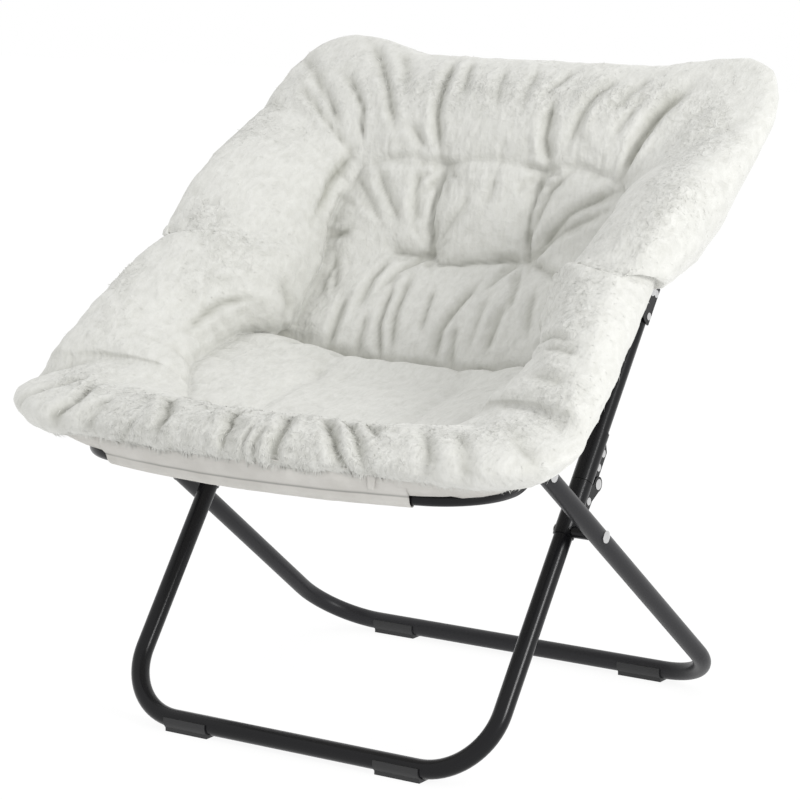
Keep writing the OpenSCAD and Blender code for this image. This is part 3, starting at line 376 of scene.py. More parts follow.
class Skin:
    """A panel grid with rings of roll round it. Holds points, faces and each point's place on the cover."""

    def __init__(self, cell, rings, section, drop=0.0):
        nx = int(round(PANEL_W / cell / 2)) * 2
        ny = int(round(LINE_LEN / cell))
        share, v = np.meshgrid(np.linspace(-1, 1, nx + 1), np.linspace(0, LINE_LEN, ny + 1))
        grid, x, v = panel_points(share, v)
        grid = grid - line_in(v) * drop
        loop = [(0, j) for j in range(nx // 2, nx + 1)] + [(i, nx) for i in range(1, ny + 1)]
        loop += [(ny, j) for j in range(nx - 1, nx // 2 - 1, -1)]
        st = loop_stations(loop, ny, x, v)
        rows = station_values(st)
        bulge = eased(st, BULGE_AT, BULGE, 1)
        r = np.linspace(0, 1, rings + 1)
        made = [section(grid[i], q, b, r) for i, q, b in zip(loop, rows, bulge)]
        right, lengths = np.array([m[0] for m in made]), np.array([m[1] for m in made])
        left = right[::-1][1:-1] * [-1, 1, 1]
        around = np.concatenate([right, left])
        back_loop = [(i, nx - j) for i, j in loop[::-1]][1:-1]
        ids = np.array([i * (nx + 1) + j for i, j in loop + back_loop])
        m, n0 = len(ids), grid.shape[0] * grid.shape[1]
        self.nx, self.ny, self.m, self.n0, self.rings = nx, ny, m, n0, rings
        self.points = np.concatenate([grid.reshape(-1, 3)] + [around[:, k] for k in range(1, rings + 1)])
        crest = run_along(right[:, rings // 2])
        self.station_run = (st, crest)
        full = [np.concatenate([a, b * a[::-1][1:-1]]) for a, b in ((st, -1), (crest, -1), (lengths, 1))]
        self.st, self.along, length = (np.concatenate([np.zeros(n0)] + [f] * rings) for f in full)
        self.r = np.concatenate([np.zeros(n0)] + [np.full(m, r[k]) for k in range(1, rings + 1)])
        self.out = self.r * length
        self.x, self.v = x.ravel(), v.ravel()
        ring = [ids] + [n0 + k * m + np.arange(m) for k in range(rings)]
        grid_ids = np.arange(n0).reshape(ny + 1, nx + 1)
        panel = np.stack([grid_ids[:-1, :-1], grid_ids[:-1, 1:], grid_ids[1:, 1:], grid_ids[1:, :-1]], -1)
        bands = [np.stack([lo, hi, np.roll(hi, -1), np.roll(lo, -1)], -1) for lo, hi in zip(ring, ring[1:])]
        self.faces = np.concatenate([panel.reshape(-1, 4)] + bands)
        self.edge = ids
        self.ring = ring

    def normals(self):
        n, out = diagonal_cross(self.faces, self.points), np.zeros_like(self.points)
        for i in range(4):
            np.add.at(out, self.faces[:, i], n)
        return out / (np.linalg.norm(out, axis=1, keepdims=True) + TINY)

    def moved_like(self, coarse, move):
        """Moves given at a coarser skin's points, read smoothly at this skin's points."""
        grid = move[:coarse.n0].reshape(coarse.ny + 1, coarse.nx + 1, 3)
        tall = catmull(grid, np.linspace(0, 1, self.ny + 1))
        wide = catmull(tall.transpose(1, 0, 2), np.linspace(0, 1, self.nx + 1)).transpose(1, 0, 2)
        rings = np.stack([move[ids] for ids in coarse.ring])
        out = catmull(rings, np.linspace(0, 1, self.rings + 1)).transpose(1, 0, 2)
        share = np.interp(self.loop_place(), coarse.loop_place(), np.arange(coarse.m))
        padded_rows = np.concatenate([out, out[:1]])
        around = catmull(padded_rows, share / coarse.m)
        return np.concatenate([wide.reshape(-1, 3)] + [around[:, k] for k in range(1, self.rings + 1)])

    def loop_place(self):
        """Place of each loop point, counted in sides of the panel: a number from 0 to 4."""
        half, nx, ny = self.nx // 2, self.nx, self.ny
        sides = [(0, 0.5, half), (0.5, 1, ny), (1.5, 1, nx), (2.5, 1, ny), (3.5, 0.5, half)]
        return np.concatenate([at + np.linspace(0, size, n + 1)[:-1] for at, size, n in sides])

    def roll_place(self, st, r):
        """Place in mm, along the rim and out from the seam, of a signed station and ring share."""
        st_half, crest = self.station_run
        k = int(np.argmin(np.abs(st_half - abs(st))))
        along = (-1 if st < 0 else 1) * float(np.interp(abs(st), st_half, crest))
        return along, r * self.out[self.n0 + (self.rings - 1) * self.m + k]


def chain_distance(a, b, chain):
    """Distance from each place (a, b) to a chain of places, and the share of the chain that it is nearest."""
    chain = np.asarray(chain, float)
    lengths, starts = np.linalg.norm(np.diff(chain, axis=0), axis=1), run_along(chain)
    best, where = np.full(len(a), 1e9), np.zeros(len(a))
    for (ax, ay), (bx, by), start, length in zip(chain, chain[1:], starts, lengths):
        t = np.clip(((a - ax) * (bx - ax) + (b - ay) * (by - ay)) / length ** 2, 0, 1)
        d = np.hypot(a - ax - t * (bx - ax), b - ay - t * (by - ay))
        nearer = d < best
        best, where = np.where(nearer, d, best), np.where(nearer, (start + t * length) / starts[-1], where)
    return best, where


# Sewn lines and folds. On the panel a place is (x, length), on the rolls (signed station, ring share).
LEFT, RIGHT = (-TUFT_X, TUFT_V), (TUFT_X, TUFT_V + 3)
TUFTS = [LEFT, RIGHT, (-212, TUFT_V + 3), (212, TUFT_V + 3)]
TOP_TUFTS = [(-198, 500), (-TUFT_X, 510), (TUFT_X, 510), (198, 500)]
CREASE_HALF = [(0, 239), (60, 237), (105, 246), (150, 251), (198, 257)]
CREASE = [(-x, v) for x, v in CREASE_HALF[:0:-1]] + CREASE_HALF
SEAMS = [CREASE, [(-TUFT_X, 512), (-76, 460), LEFT], [(TUFT_X, 512), (64, 455), RIGHT],
         [LEFT, (-48, 390), (-20, 392), (25, 400), RIGHT], [LEFT, (-100, 400), (-118, 402)]]
# Each fold: its chain, then its depth and width in mm
PANEL_FOLDS = [
    ([(-213, 407), (-196, 416), (-180, 418)], 5, 7),
    ([(-192, 390), (-190, 345), (-186, 318)], 4, 8), ([(-182, 366), (-170, 332)], 5, 7),
    ([(-118, 392), (-125, 354), (-122, 305)], 5, 8), ([(-92, 356), (-84, 290), (-64, 236)], 6.5, 7),
    ([(-76, 374), (-68, 304), (-50, 246)], 6, 8), ([(-34, 352), (-20, 279)], 5, 6),
    ([(24, 370), (4, 289), (12, 242)], 7, 8), ([(22, 300), (35, 240)], 5, 7), ([(68, 393), (85, 325)], 5, 7),
    ([(74, 340), (77, 262)], 6, 8), ([(104, 362), (124, 290)], 5, 8), ([(-146, 322), (-143, 252)], 6, 8),
    ([(150, 372), (158, 300), (150, 256)], 5, 8), ([(46, 350), (52, 262)], 4, 7),
    ([(-108, 300), (-100, 246)], 4, 7),
    ([(-196, 492), (-181, 480), (-137, 430)], 4.5, 9), ([(-160, 500), (-147, 478), (-112, 432)], 5, 10),
    ([(-100, 505), (-101, 480), (-92, 432)], 5, 9), ([(76, 410), (124, 462), (186, 498)], 7, 8),
    ([(72, 440), (88, 490), (112, 508)], 5, 8), ([(76, 408), (120, 440), (176, 470)], 5, 9),
    ([(72, 405), (112, 388), (150, 376)], 4.5, 8), ([(-62, 410), (-30, 455), (-20, 480)], 3, 10),
    ([(10, 500), (6, 462)], 3, 10), ([(-TUFT_X, 402), (-96, 372), (-104, 340)], 4.5, 8),
    ([(60, 400), (44, 380), (36, 352)], 4.5, 8), ([(-124, 210), (-100, 170), (-80, 134)], 2, 12),
    ([(105, 236), (125, 200)], 4, 10), ([(60, 232), (80, 190)], 3, 12), ([(-150, 240), (-170, 205)], 4, 12),
    ([(150, 240), (176, 212)], 4, 10), ([(-20, 232), (-30, 200)], 2.5, 12),
    ([(-90, 236), (-110, 205)], 3, 12)]
ROLL_FOLDS = [
    ([(-36.6, 0.75), (-37.0, 0.5), (-37.6, 0.12)], 6, 9), ([(-36, 0.55), (-36.5, 0.3), (-37.4, 0.06)], 6, 9),
    ([(-38.4, 0.5), (-39.4, 0.28), (-38.9, 0.08)], 7, 9),
    ([(-39.4, 0.75), (-42.0, 0.3), (-43.0, 0.16)], 7, 9),
    ([(-41.2, 0.75), (-42.8, 0.42)], 5, 9), ([(-44.2, 0.72), (-44.8, 0.27), (-45.4, 0.03)], 8, 9),
    ([(-45.0, 0.72), (-45.8, 0.42)], 5, 8), ([(45.7, 0.42), (45.6, 0.18), (45.2, 0.02)], 8, 9),
    ([(43.2, 0.64), (44.0, 0.4), (44.4, 0.1)], 6, 9), ([(41.7, 0.66), (42.5, 0.36)], 5, 9),
    ([(45.6, 0.68), (46.2, 0.42)], 4.5, 8), ([(-47.0, 0.66), (-47.8, 0.3)], 4, 9),
    ([(47.4, 0.66), (47.0, 0.34)], 4, 9),
    ([(38.4, 0.02), (39.2, 0.2), (39.4, 0.36), (39.2, 0.56)], 13, 15), ([(41.0, 0.5), (41.6, 0.2)], 4, 9),
    ([(-43.6, 0.2), (-44.6, 0.06)], 4, 8), ([(-34.3, 0.66), (-34.3, 0.5)], 3, 9),
    ([(-18.0, 0.13), (-19.6, 0.17), (-21.2, 0.2)], 6, 8), ([(-22.9, 0.2), (-22.4, 0.08)], 4, 8),
    ([(18.0, 0.13), (19.6, 0.17), (21.2, 0.2)], 6, 8), ([(18.4, 0.3), (18.0, 0.5)], 5, 10),
    ([(19.4, 0.2), (18.6, 0.48)], 5, 9), ([(16.8, 0.3), (16.4, 0.5)], 4, 10),
    ([(-9.8, 0.4), (-7.6, 0.66), (-7.4, 0.9)], 8, 9), ([(-4.6, 0.34), (-3.0, 0.66), (-2.8, 0.88)], 8, 9),
    ([(-1.2, 0.42), (-0.3, 0.7), (-0.2, 0.92)], 8, 9), ([(0.4, 0.66), (0.4, 0.97)], 5, 6),
    ([(0.9, 0.66), (0.8, 0.97)], 5, 6), ([(0.9, 0.4), (1.5, 0.66), (1.5, 0.97)], 8, 9),
    ([(2.0, 0.34), (3.2, 0.66), (4.0, 0.95)], 9, 9), ([(2.6, 0.3), (3.8, 0.6), (4.6, 0.9)], 7, 9),
    ([(-3.9, 0.76), (-4.5, 0.95)], 4, 8), ([(-11.0, 0.4), (-10.0, 0.8)], 6, 9),
    ([(3.4, 0.3), (4.6, 0.62)], 5, 9), ([(6.5, 0.4), (7.0, 0.85)], 6, 10),
    ([(9.0, 0.45), (8.6, 0.85)], 6, 10), ([(11.6, 0.4), (11.0, 0.8)], 5, 10),
    ([(-13.5, 0.45), (-12.6, 0.8)], 5, 10), ([(-6.2, 0.55), (-5.6, 0.9)], 5, 8),
    ([(-38.2, 0.09), (-35.5, 0.07), (-32.0, 0.08), (-28.4, 0.13)], 9, 10)]
# Station of the notch between the side rolls, then how far each kind of sewing pulls the cover down, in mm
NOTCH = 24.5
SEAM_PULL, RIM_PULL, TOP_PULL, TUFT_PULL, SIDE_TUFT_PULL, NOTCH_PULL = 13, 10, 9, 17, 7, 9
SEAM_REACH, DEEPEST = 12, 20.0
# Where the sewn cover is uneven: signed station, reach in stations, shift in mm
UNEVEN = [(-37.5, 4.5, (-13, 0, 2)), (-24.5, 4, (-15, -2, 3)),
          (38.5, 4, (2, 3, -9)), (19.5, 4.2, (-11, 0, 0))]
# Width of the painted shade line along the bottom of a fold or seam, the depth at which it is full, and its
# strength in the material
FOLD_SHADE_W, FOLD_SHADE_DEPTH, FOLD_SHADE_SHARE = 2.4, 8, 0.42
# The seat swells up in front of the crease: height, place along the padding and reach
SEAT_SWELL, SWELL_V, SWELL_W = 13.0, 206.0, 26


def made_uneven(skin):
    """Points of a skin with the uneven places of the sewn cover."""
    points = skin.points
    for place, reach, shift in UNEVEN:
        near = np.exp(-((skin.st - place) / reach) ** 2) * np.clip(skin.r * 1.8, 0, 1)
        points = points + near[:, None] * np.array(shift)
    return points


def faded(share):
    """Strength of a fold along its chain: it fades out at both ends."""
    return np.clip(np.sin(math.pi * np.clip(share, 0.05, 0.95)) * 1.7, 0, 1)


def fold_shade_lines(a, b, folds):
    """Share from 0 to 1 of the painted shade line along the bottom of each fold."""
    line = np.zeros(len(a))
    for chain, depth, _ in folds:
        d, s = chain_distance(a, b, chain)
        line = np.maximum(line, np.clip(depth / FOLD_SHADE_DEPTH, 0, 1) * faded(s) * np.exp(-(d / FOLD_SHADE_W) ** 2))
    return line


def fold_depth(a, b, folds):
    """Depth in mm of a set of folds at places (a, b): a sharp valley between two soft shoulders."""
    total = np.zeros(len(a))
    for chain, depth, width in folds:
        d, s = chain_distance(a, b, chain)
        near = d < 5 * width
        d, s = d[near], s[near]
        valley = 0.55 * np.exp(-d / (0.4 * width)) + 0.55 * np.exp(-(d / (1.2 * width)) ** 2)
        shoulder = 0.3 * np.exp(-((d - 1.5 * width) / (0.7 * width)) ** 2)
        total[near] += depth * faded(s) * (valley - shoulder)
    return total


def tuft_gathers():
    """Short folds that fan out from the tufts inside the panel."""
    folds = []
    for tuft in TUFTS[:2] + TOP_TUFTS[1:3]:
        for angle in np.arange(0, 2 * math.pi, 0.7) + rng.uniform(0, 0.7):
            angle += rng.normal(0, 0.15)
            way = np.array([math.cos(angle), math.sin(angle)])
            chain = [np.array(tuft) + 8 * way, np.array(tuft) + rng.uniform(20, 48) * way]
            folds.append((chain, rng.uniform(2, 4.5), 5))
    return folds


def rim_gathers(skin):
    """Short folds across the seam round the panel, in panel places and in roll places."""
    inward, outward = [], []
    edge = skin.edge
    x, v, strength = skin.x[edge], skin.v[edge], seam_strength(skin)[edge]
    k = 0
    while k < skin.m - 4:
        k += int(rng.integers(5, 17))
        i = k % skin.m
        reach = rng.uniform(12, 50)
        aim = np.array([-x[i], 0.45 * (300 - v[i])])
        aim = aim / np.linalg.norm(aim) + rng.normal(0, 0.25, 2)
        start = np.array([x[i], v[i]])
        depth = rng.uniform(1, 5) * strength[i]
        inward.append(([start - 4 * aim, start + reach * aim], depth, rng.uniform(3.5, 6)))
        a = skin.along[skin.n0 + i]
        far = (a + rng.normal(0, 5), reach * rng.uniform(0.8, 2.2))
        outward.append(([(a, -6), far], depth, rng.uniform(4, 7)))
    return inward, outward


def sewn_depth(skin):
    """Depth in mm to which the sewn lines and tufts pull the cover down."""
    panel, rolls = slice(0, skin.n0), slice(skin.n0, None)
    depth, strength = np.zeros(len(skin.points)), seam_strength(skin)
    x, v = skin.x, skin.v
    for chain in SEAMS:
        seam = SEAM_PULL * np.exp(-chain_distance(x, v, chain)[0] / SEAM_REACH)
        depth[panel] = np.maximum(depth[panel], seam)
    for tx, tv in TUFTS:
        pull = TUFT_PULL if abs(tx) <= TUFT_X else SIDE_TUFT_PULL
        depth[panel] += pull * np.exp(-(np.hypot(x - tx, v - tv) / 20) ** 1.1)
    for tx, tv in TOP_TUFTS:
        depth[panel] += TOP_PULL * np.exp(-(np.hypot(x - tx, v - tv) / 22) ** 1.3)
    rim = RIM_PULL * np.exp(-edge_distance(skin) / SEAM_REACH)
    depth[panel] = np.maximum(depth[panel], rim * strength[panel])
    depth[rolls] = RIM_PULL * np.exp(-skin.out[rolls] / SEAM_REACH) * strength[rolls]
    for tx, tv in TOP_TUFTS:
        place = skin.points[np.argmin(np.hypot(x - tx, v - tv))]
        depth[rolls] += 8 * np.exp(-(np.linalg.norm(skin.points[rolls] - place, axis=1) / 24) ** 1.3)
    st_dist = np.abs(np.abs(skin.st[rolls]) - NOTCH)
    notch = NOTCH_PULL * np.exp(-(st_dist / 0.4) ** 1.2)
    depth[rolls] += notch * np.clip(skin.r[rolls] * 2.2 - 0.5, 0, 1)
    return DEEPEST * np.tanh(depth / DEEPEST)


def edge_distance(skin):
    """Rough distance in mm from each panel point to the panel's edge."""
    row, column = np.indices((skin.ny + 1, skin.nx + 1))
    from_end = np.minimum(row, skin.ny - row) * (LINE_LEN / skin.ny)
    from_side = np.minimum(column, skin.nx - column) * (PANEL_W / skin.nx)
    return np.minimum(from_end, from_side).ravel()


def seam_strength(skin):
    """How tight the seam round the panel is: full along the top, weaker beside the back, weakest in front."""
    top = np.clip((skin.points[:, 2] - 640) / 60, 0, 1)
    return np.maximum(np.clip((skin.points[:, 1] + 260) / 200, 0.15, 0.4), top)


def object_from(name, points, faces, smooth=True):
    """A mesh object in the scene, from points in mm."""
    me = bpy.data.meshes.new(name)
    faces = faces if isinstance(faces, list) else faces.tolist()
    me.from_pydata((np.asarray(points) * MM).tolist(), [], faces)
    me.polygons.foreach_set("use_smooth", [smooth] * len(me.polygons))
    me.update()
    ob = bpy.data.objects.new(name, me)
    scene.collection.objects.link(ob)
    return ob


def paint(ob, name, values):
    """Stores one value per point for the materials."""
    ob.data.attributes.new(name, "FLOAT", "POINT").data.foreach_set("value", np.asarray(values, float))


SIM_FRAMES = 22
# Cloth settings in the order in which they are set: the two shrink limits act on each other
SIM = {"quality": 6, "mass": 0.3, "tension_stiffness": 12, "compression_stiffness": 12, "shear_stiffness": 6,
       "bending_stiffness": 0.6, "vertex_group_mass": "pin", "use_pressure": True,
       "uniform_pressure_force": 3.5, "vertex_group_shrink": "slack", "shrink_min": 0.0, "shrink_max": -0.2}


def inflated(skin, pin, slack):
    """Points of a skin after a short cloth simulation under pressure, held where pin is 1."""
    ob = object_from("inflating", skin.points, skin.faces)
    for name, values in (("pin", pin), ("slack", slack)):
        group = ob.vertex_groups.new(name=name)
        for level in np.unique(np.round(values, 1)):
            group.add(np.where(np.round(values, 1) == level)[0].tolist(), float(level), "REPLACE")
    cloth = ob.modifiers.new("cloth", "CLOTH")
    for key, value in SIM.items():
        setattr(cloth.settings, key, value)
    cloth.settings.effector_weights.gravity = 0
    cloth.point_cache.frame_start, cloth.point_cache.frame_end = 1, SIM_FRAMES
    for f in range(1, SIM_FRAMES + 1):
        scene.frame_set(f)
    done = ob.evaluated_get(bpy.context.evaluated_depsgraph_get())
    co = np.empty(len(done.data.vertices) * 3)
    done.data.vertices.foreach_get("co", co)
    scene.frame_set(1)
    mesh = ob.data
    bpy.data.objects.remove(ob)
    bpy.data.meshes.remove(mesh)
    return co.reshape(-1, 3) / MM


def capped(move, normal, out_cap, in_cap, slide_cap):
    """A move with its part along the normal and its slide held within caps."""
    along = (move * normal).sum(1)
    slide = move - normal * along[:, None]
    along = np.where(along > 0, out_cap * np.tanh(along / out_cap), in_cap * np.tanh(along / in_cap))
    size = np.linalg.norm(slide, axis=1, keepdims=True) + TINY
    return normal * along[:, None] + slide * (slide_cap * np.tanh(size / slide_cap) / size)


# Cell size in mm and number of rings, for the simulation, the finished cover and the cloth below
COARSE, FINE, UNDER = (8.0, 30), (3.1, 80), (12.0, 16)
# How far the padding may swell out of the panel and the rolls, sink in and slide
SWELL_PANEL, SWELL_ROLL, SINK, SLIDE = 22.0, 7.0, 5.0, 6.0


def swelling(skin):
    """How far the padding moves the sewn cover in a cloth simulation, held along its seams and lower edge."""
    held = np.zeros(len(skin.points))
    panel = slice(0, skin.n0)
    for chain in SEAMS:
        held[panel] = np.maximum(held[panel], chain_distance(skin.x, skin.v, chain)[0] < 5)
    held[skin.edge] = 1
    held[skin.r > 0.86] = 1
    slack = np.where(skin.r > 0, 0.6, 0.3)
    slack[panel] = np.where(skin.v > 250, 0.7, 0.3)
    cap = np.where(skin.r > 0.5, SWELL_ROLL, SWELL_PANEL)
    return capped(inflated(skin, held, slack) - skin.points, skin.normals(), cap, SINK, SLIDE)


def make_cover():
    """The fur cover: sewn lines pulled in, padding swollen between them, then folds and small lumps."""
    coarse, fine = Skin(*COARSE, fur_section), Skin(*FINE, fur_section)
    move = -coarse.normals() * sewn_depth(coarse)[:, None]
    coarse.points = coarse.points + move
    move = move + swelling(coarse)
    fine.points = fine.points + fine.moved_like(coarse, move)
    fine.points = p = made_uneven(fine)
    normal, strength = fine.normals(), seam_strength(fine)
    depth, line = np.zeros(len(p)), np.zeros(len(p))
    panel, rolls = slice(0, fine.n0), slice(fine.n0, None)
    along, out = fine.along[rolls], fine.out[rolls]
    inward, outward = rim_gathers(fine)
    depth[panel] = fold_depth(fine.x, fine.v, PANEL_FOLDS + inward + tuft_gathers())
    folds = [([fine.roll_place(*place) for place in chain], d, w) for chain, d, w in ROLL_FOLDS]
    depth[rolls] = fold_depth(along, out, folds + outward)
    # Painted shade: a thin dark line along the bottoms of folds and sewn seams, weaker on the rolls
    line[panel] = fold_shade_lines(fine.x, fine.v, PANEL_FOLDS + [(chain, FOLD_SHADE_DEPTH, 0) for chain in SEAMS])
    line[rolls] = 0.7 * fold_shade_lines(along, out, folds)
    for chain in SEAMS:
        tight = 9 if chain is CREASE else 5
        depth[panel] += tight * np.exp(-chain_distance(fine.x, fine.v, chain)[0] / (0.7 * tight))
    depth[panel] += 5 * np.exp(-edge_distance(fine) / 3.5) * strength[panel]
    depth[rolls] += 5 * np.exp(-out / 3.5) * strength[rolls]
    shaggy = np.clip(fine.r * 3, 0.2, 1) * (0.7 * noise(p, 8, 3) + 0.35 * noise(p, 5, 4))
    lumps = 1.6 * noise(p, 34, 1) + 0.9 * noise(p, 15, 2) + shaggy
    fine.points = p + normal * (lumps - depth)[:, None]
    swell = SEAT_SWELL * np.exp(-((fine.v - SWELL_V) / SWELL_W) ** 2)
    fine.points[panel, 2] += swell * np.clip(1.5 - np.abs(fine.x) / 170, 0, 1)
    cover = object_from("fur_cover", fine.points, fine.faces)
    # Painted shade: the fur is darkened in folds and sewn grooves by how deep they are
    paint(cover, "depth", np.clip(depth / 14, 0, 0.8))
    # Painted shade along the bottoms of folds and seams
    paint(cover, "line", FOLD_SHADE_SHARE * line)
    crest = np.exp(-((fine.r - 0.46) / 0.17) ** 2) * np.clip((noise(p, 48, 8) + 0.55) * 1.4, 0, 1)
    front = np.clip((8 - np.abs(fine.st)) / 3, 0, 1) * np.clip((fine.r - 0.3) * 5, 0, 1)
    fine.shag = np.maximum(crest, front * 0.9)
    paint(cover, "shag", fine.shag)
    return cover, fine


cover, cover_skin = make_cover()


def across_hinge(ob):
    """Bakes the piece's transform into its mesh points."""
    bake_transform(ob)


across_hinge(cover)
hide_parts("seat_panel", "seat_front_roll", "seat_side_roll_left", "seat_side_roll_right",
            "lumbar_fold", "back_panel", "back_roll")


def make_under_cloth():
    """The cloth below the padding, from under the panels past the tubes to the fur's lower edge."""
    skin = Skin(*UNDER, cloth_section, PANEL_T)
    skin.points = p = made_uneven(skin)
    skin.points = p + skin.normals() * (1.2 * noise(p, 45, 11) + 0.6 * noise(p, 20, 12))[:, None]
    return object_from("under_cloth", skin.points, skin.faces), skin


under, under_skin = make_under_cloth()
across_hinge(under)
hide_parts("seat_underside", "back_underside")


def flat_area(skin):
    """Area of a skin in square metres."""
    return float(np.linalg.norm(diagonal_cross(skin.faces, skin.points * MM), axis=1).sum() / 2)


# The area of the finished cloth below is computed; the value is not used
flat_area(under_skin)

# Materials, all procedural


class Surface:
    """A material built round one Principled shader, with its textures placed in metres."""

    def __init__(self, name, color, rough, **inputs):
        self.material = bpy.data.materials.new(name)
        self.material.use_nodes = True
        self.tree = self.material.node_tree
        self.shader = self.tree.nodes["Principled BSDF"]
        self.place = self.add("ShaderNodeTexCoord").outputs["Object"]
        self.set(self.shader, {"Base Color": (*color, 1), "Roughness": rough})
        self.set(self.shader, {k.replace("_", " "): v for k, v in inputs.items()})

    def set(self, node, inputs):
        for key, value in inputs.items():
            if isinstance(value, bpy.types.NodeSocket):
                self.tree.links.new(value, node.inputs[key])
            else:
                node.inputs[key].default_value = value

    def add(self, kind, options=None, **inputs):
        node = self.tree.nodes.new(kind)
        for key, value in (options or {}).items():
            setattr(node, key, value)
        self.set(node, {k.replace("_", " "): v for k, v in inputs.items()})
        return node

    def noise(self, scale, detail=4.0, rough=0.6, bend=0.0, stretch=None):
        place = self.place
        if stretch:
            scales, turns = stretch
            place = self.add("ShaderNodeMapping", Vector=place, Rotation=turns, Scale=scales).outputs[0]
        return self.add("ShaderNodeTexNoise", Vector=place, Scale=scale, Detail=detail, Roughness=rough,
                        Distortion=bend).outputs["Fac"]

    def ramp(self, value, low, high, dark, light):
        node = self.add("ShaderNodeValToRGB", Fac=value)
        ends = node.color_ramp.elements
        ends[0].position, ends[1].position = low, high
        ends[0].color, ends[1].color = (*dark, 1), (*light, 1)
        return node.outputs["Color"]

    def mix(self, share, a, b, kind="MIX"):
        node = self.add("ShaderNodeMix", {"data_type": "RGBA", "blend_type": kind})
        a, b = ((*value, 1) if isinstance(value, tuple) else value for value in (a, b))
        self.set(node, {0: share, 6: a, 7: b})
        return node.outputs[2]

    def times(self, a, b):
        node = self.add("ShaderNodeMath", {"operation": "MULTIPLY"})
        self.set(node, {0: a, 1: b})
        return node.outputs[0]

    def painted(self, name):
        """The value that was stored per point under this name."""
        return self.add("ShaderNodeAttribute", {"attribute_name": name}).outputs["Fac"]

    def bump(self, *layers):
        """Adds bump layers, each a height and its depth in millimetres."""
        normal = None
        for height, depth in layers:
            node = self.add("ShaderNodeBump", Height=height, Strength=1.0, Distance=depth * MM)
            if normal:
                self.set(node, {"Normal": normal})
            normal = node.outputs["Normal"]
        self.set(self.shader, {"Normal": normal})


def fur_material():
    s = Surface("fur", FUR, 0.9, Sheen_Weight=0.35, Sheen_Roughness=0.5, Sheen_Tint=(1, 1, 0.98, 1))
    clumps = s.noise(60, 2, 0.5, 0.4)
    shag = s.painted("shag")
    waves = s.noise(105, 3, 0.55, 1.0)
    curls = s.times(waves, shag)
    curled = s.mix(shag, (1, 1, 1), s.ramp(waves, 0.36, 0.6, (0.84, 0.84, 0.83), (1, 1, 1)))
    strands = s.noise(190, 2, 0.5, 0.2, ((1, 0.4, 0.4), (0.4, 0.3, 0.2)))
    across = s.noise(420, 2, 0.5)
    shade = s.ramp(clumps, 0.3, 0.62, FUR_SHADE, FUR)
    fine = s.ramp(strands, 0.3, 0.6, (0.93, 0.93, 0.92), (1, 1, 1))
    # Painted shade: the colour is darker by the depth of folds and sewn grooves
    crease_shade, line = s.painted("depth"), s.painted("line")
    tone = s.mix(1.0, s.mix(1.0, shade, fine, "MULTIPLY"), curled, "MULTIPLY")
    # Painted shade: a thin dark line along the bottoms of folds and seams
    s.set(s.shader, {"Base Color": s.mix(line, s.mix(crease_shade, tone, FUR_CREASE_SHADE), FUR_FOLD_SHADE)})
    s.bump((clumps, 2.5), (curls, 3.6), (strands, 1.1), (across, 0.3))
    return s.material


def weave_material(name, color, shade):
    """Oxford cloth: two crossed sets of threads."""
    s = Surface(name, color, 0.85)
    threads = [s.add("ShaderNodeTexWave", {"bands_direction": d}, Vector=s.place, Scale=260.0, Distortion=0.6,
                     Detail=1.0).outputs["Fac"] for d in ("X", "Z")]
    worn = s.noise(22, 4, 0.6)
    tone = s.mix(s.ramp(worn, 0.35, 0.7, (0, 0, 0), (1, 1, 1)), shade, color)
    # Painted shade darkens the cloth along the band's stitched groove
    s.set(s.shader, {"Base Color": s.mix(s.painted("stitch_shade"), tone, STITCH_SHADE)})
    s.bump((worn, 1.2), (threads[0], 0.25), (threads[1], 0.25))
    return s.material


def plain_material(name, color, rough, grain, depth, **inputs):
    """One even colour with a fine grain, given by its scale and its depth in mm."""
    s = Surface(name, color, rough, **inputs)
    s.bump((s.noise(grain, 2, 0.5), depth))
    return s.material


# Painted shade along the stitched groove of the front band
STITCH_SHADE = (0.06, 0.06, 0.055)
# The fur's colour, its random darker clumps, then painted shade for the insides of folds and sewn grooves
FUR, FUR_SHADE, FUR_CREASE_SHADE = (0.65, 0.65, 0.62), (0.605, 0.605, 0.575), (0.36, 0.36, 0.31)
# Painted shade for the thin dark line along the bottoms of folds and seams
FUR_FOLD_SHADE = (0.17, 0.17, 0.14)
# Powder coat on steel: the scale and depth of its faint orange peel, and its shine
COAT_PEEL, COAT_SHINE = (420, 0.05), 0.22
finishes = {
    "fur": fur_material(),
    "cloth": weave_material("cloth", (0.68, 0.665, 0.63), (0.60, 0.585, 0.55)),
    "tube": plain_material("tube", (0.006, 0.006, 0.007), 0.24, *COAT_PEEL, Specular_IOR_Level=COAT_SHINE),
    # Painted light: a lighter, rougher copy of the same black coat, so that the rear tube looks greyer
    "rear_tube": plain_material("rear_tube", (0.016, 0.016, 0.018), 0.36, *COAT_PEEL,
                                Specular_IOR_Level=COAT_SHINE),
    "rivet": plain_material("rivet", (0.6, 0.6, 0.6), 0.25, 300, 0.04, Metallic=1.0),
    "plastic": plain_material("plastic", (0.012, 0.012, 0.013), 0.5, 700, 0.06),
}
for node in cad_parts.values():
    for slot in node.material_slots:
        slot.material = finishes[slot.material.name.split(".")[0]]
cover.data.materials.append(finishes["fur"])
under.data.materials.append(finishes["cloth"])

# Sewn cloth round the tubes

CLOTH_T = 0.9


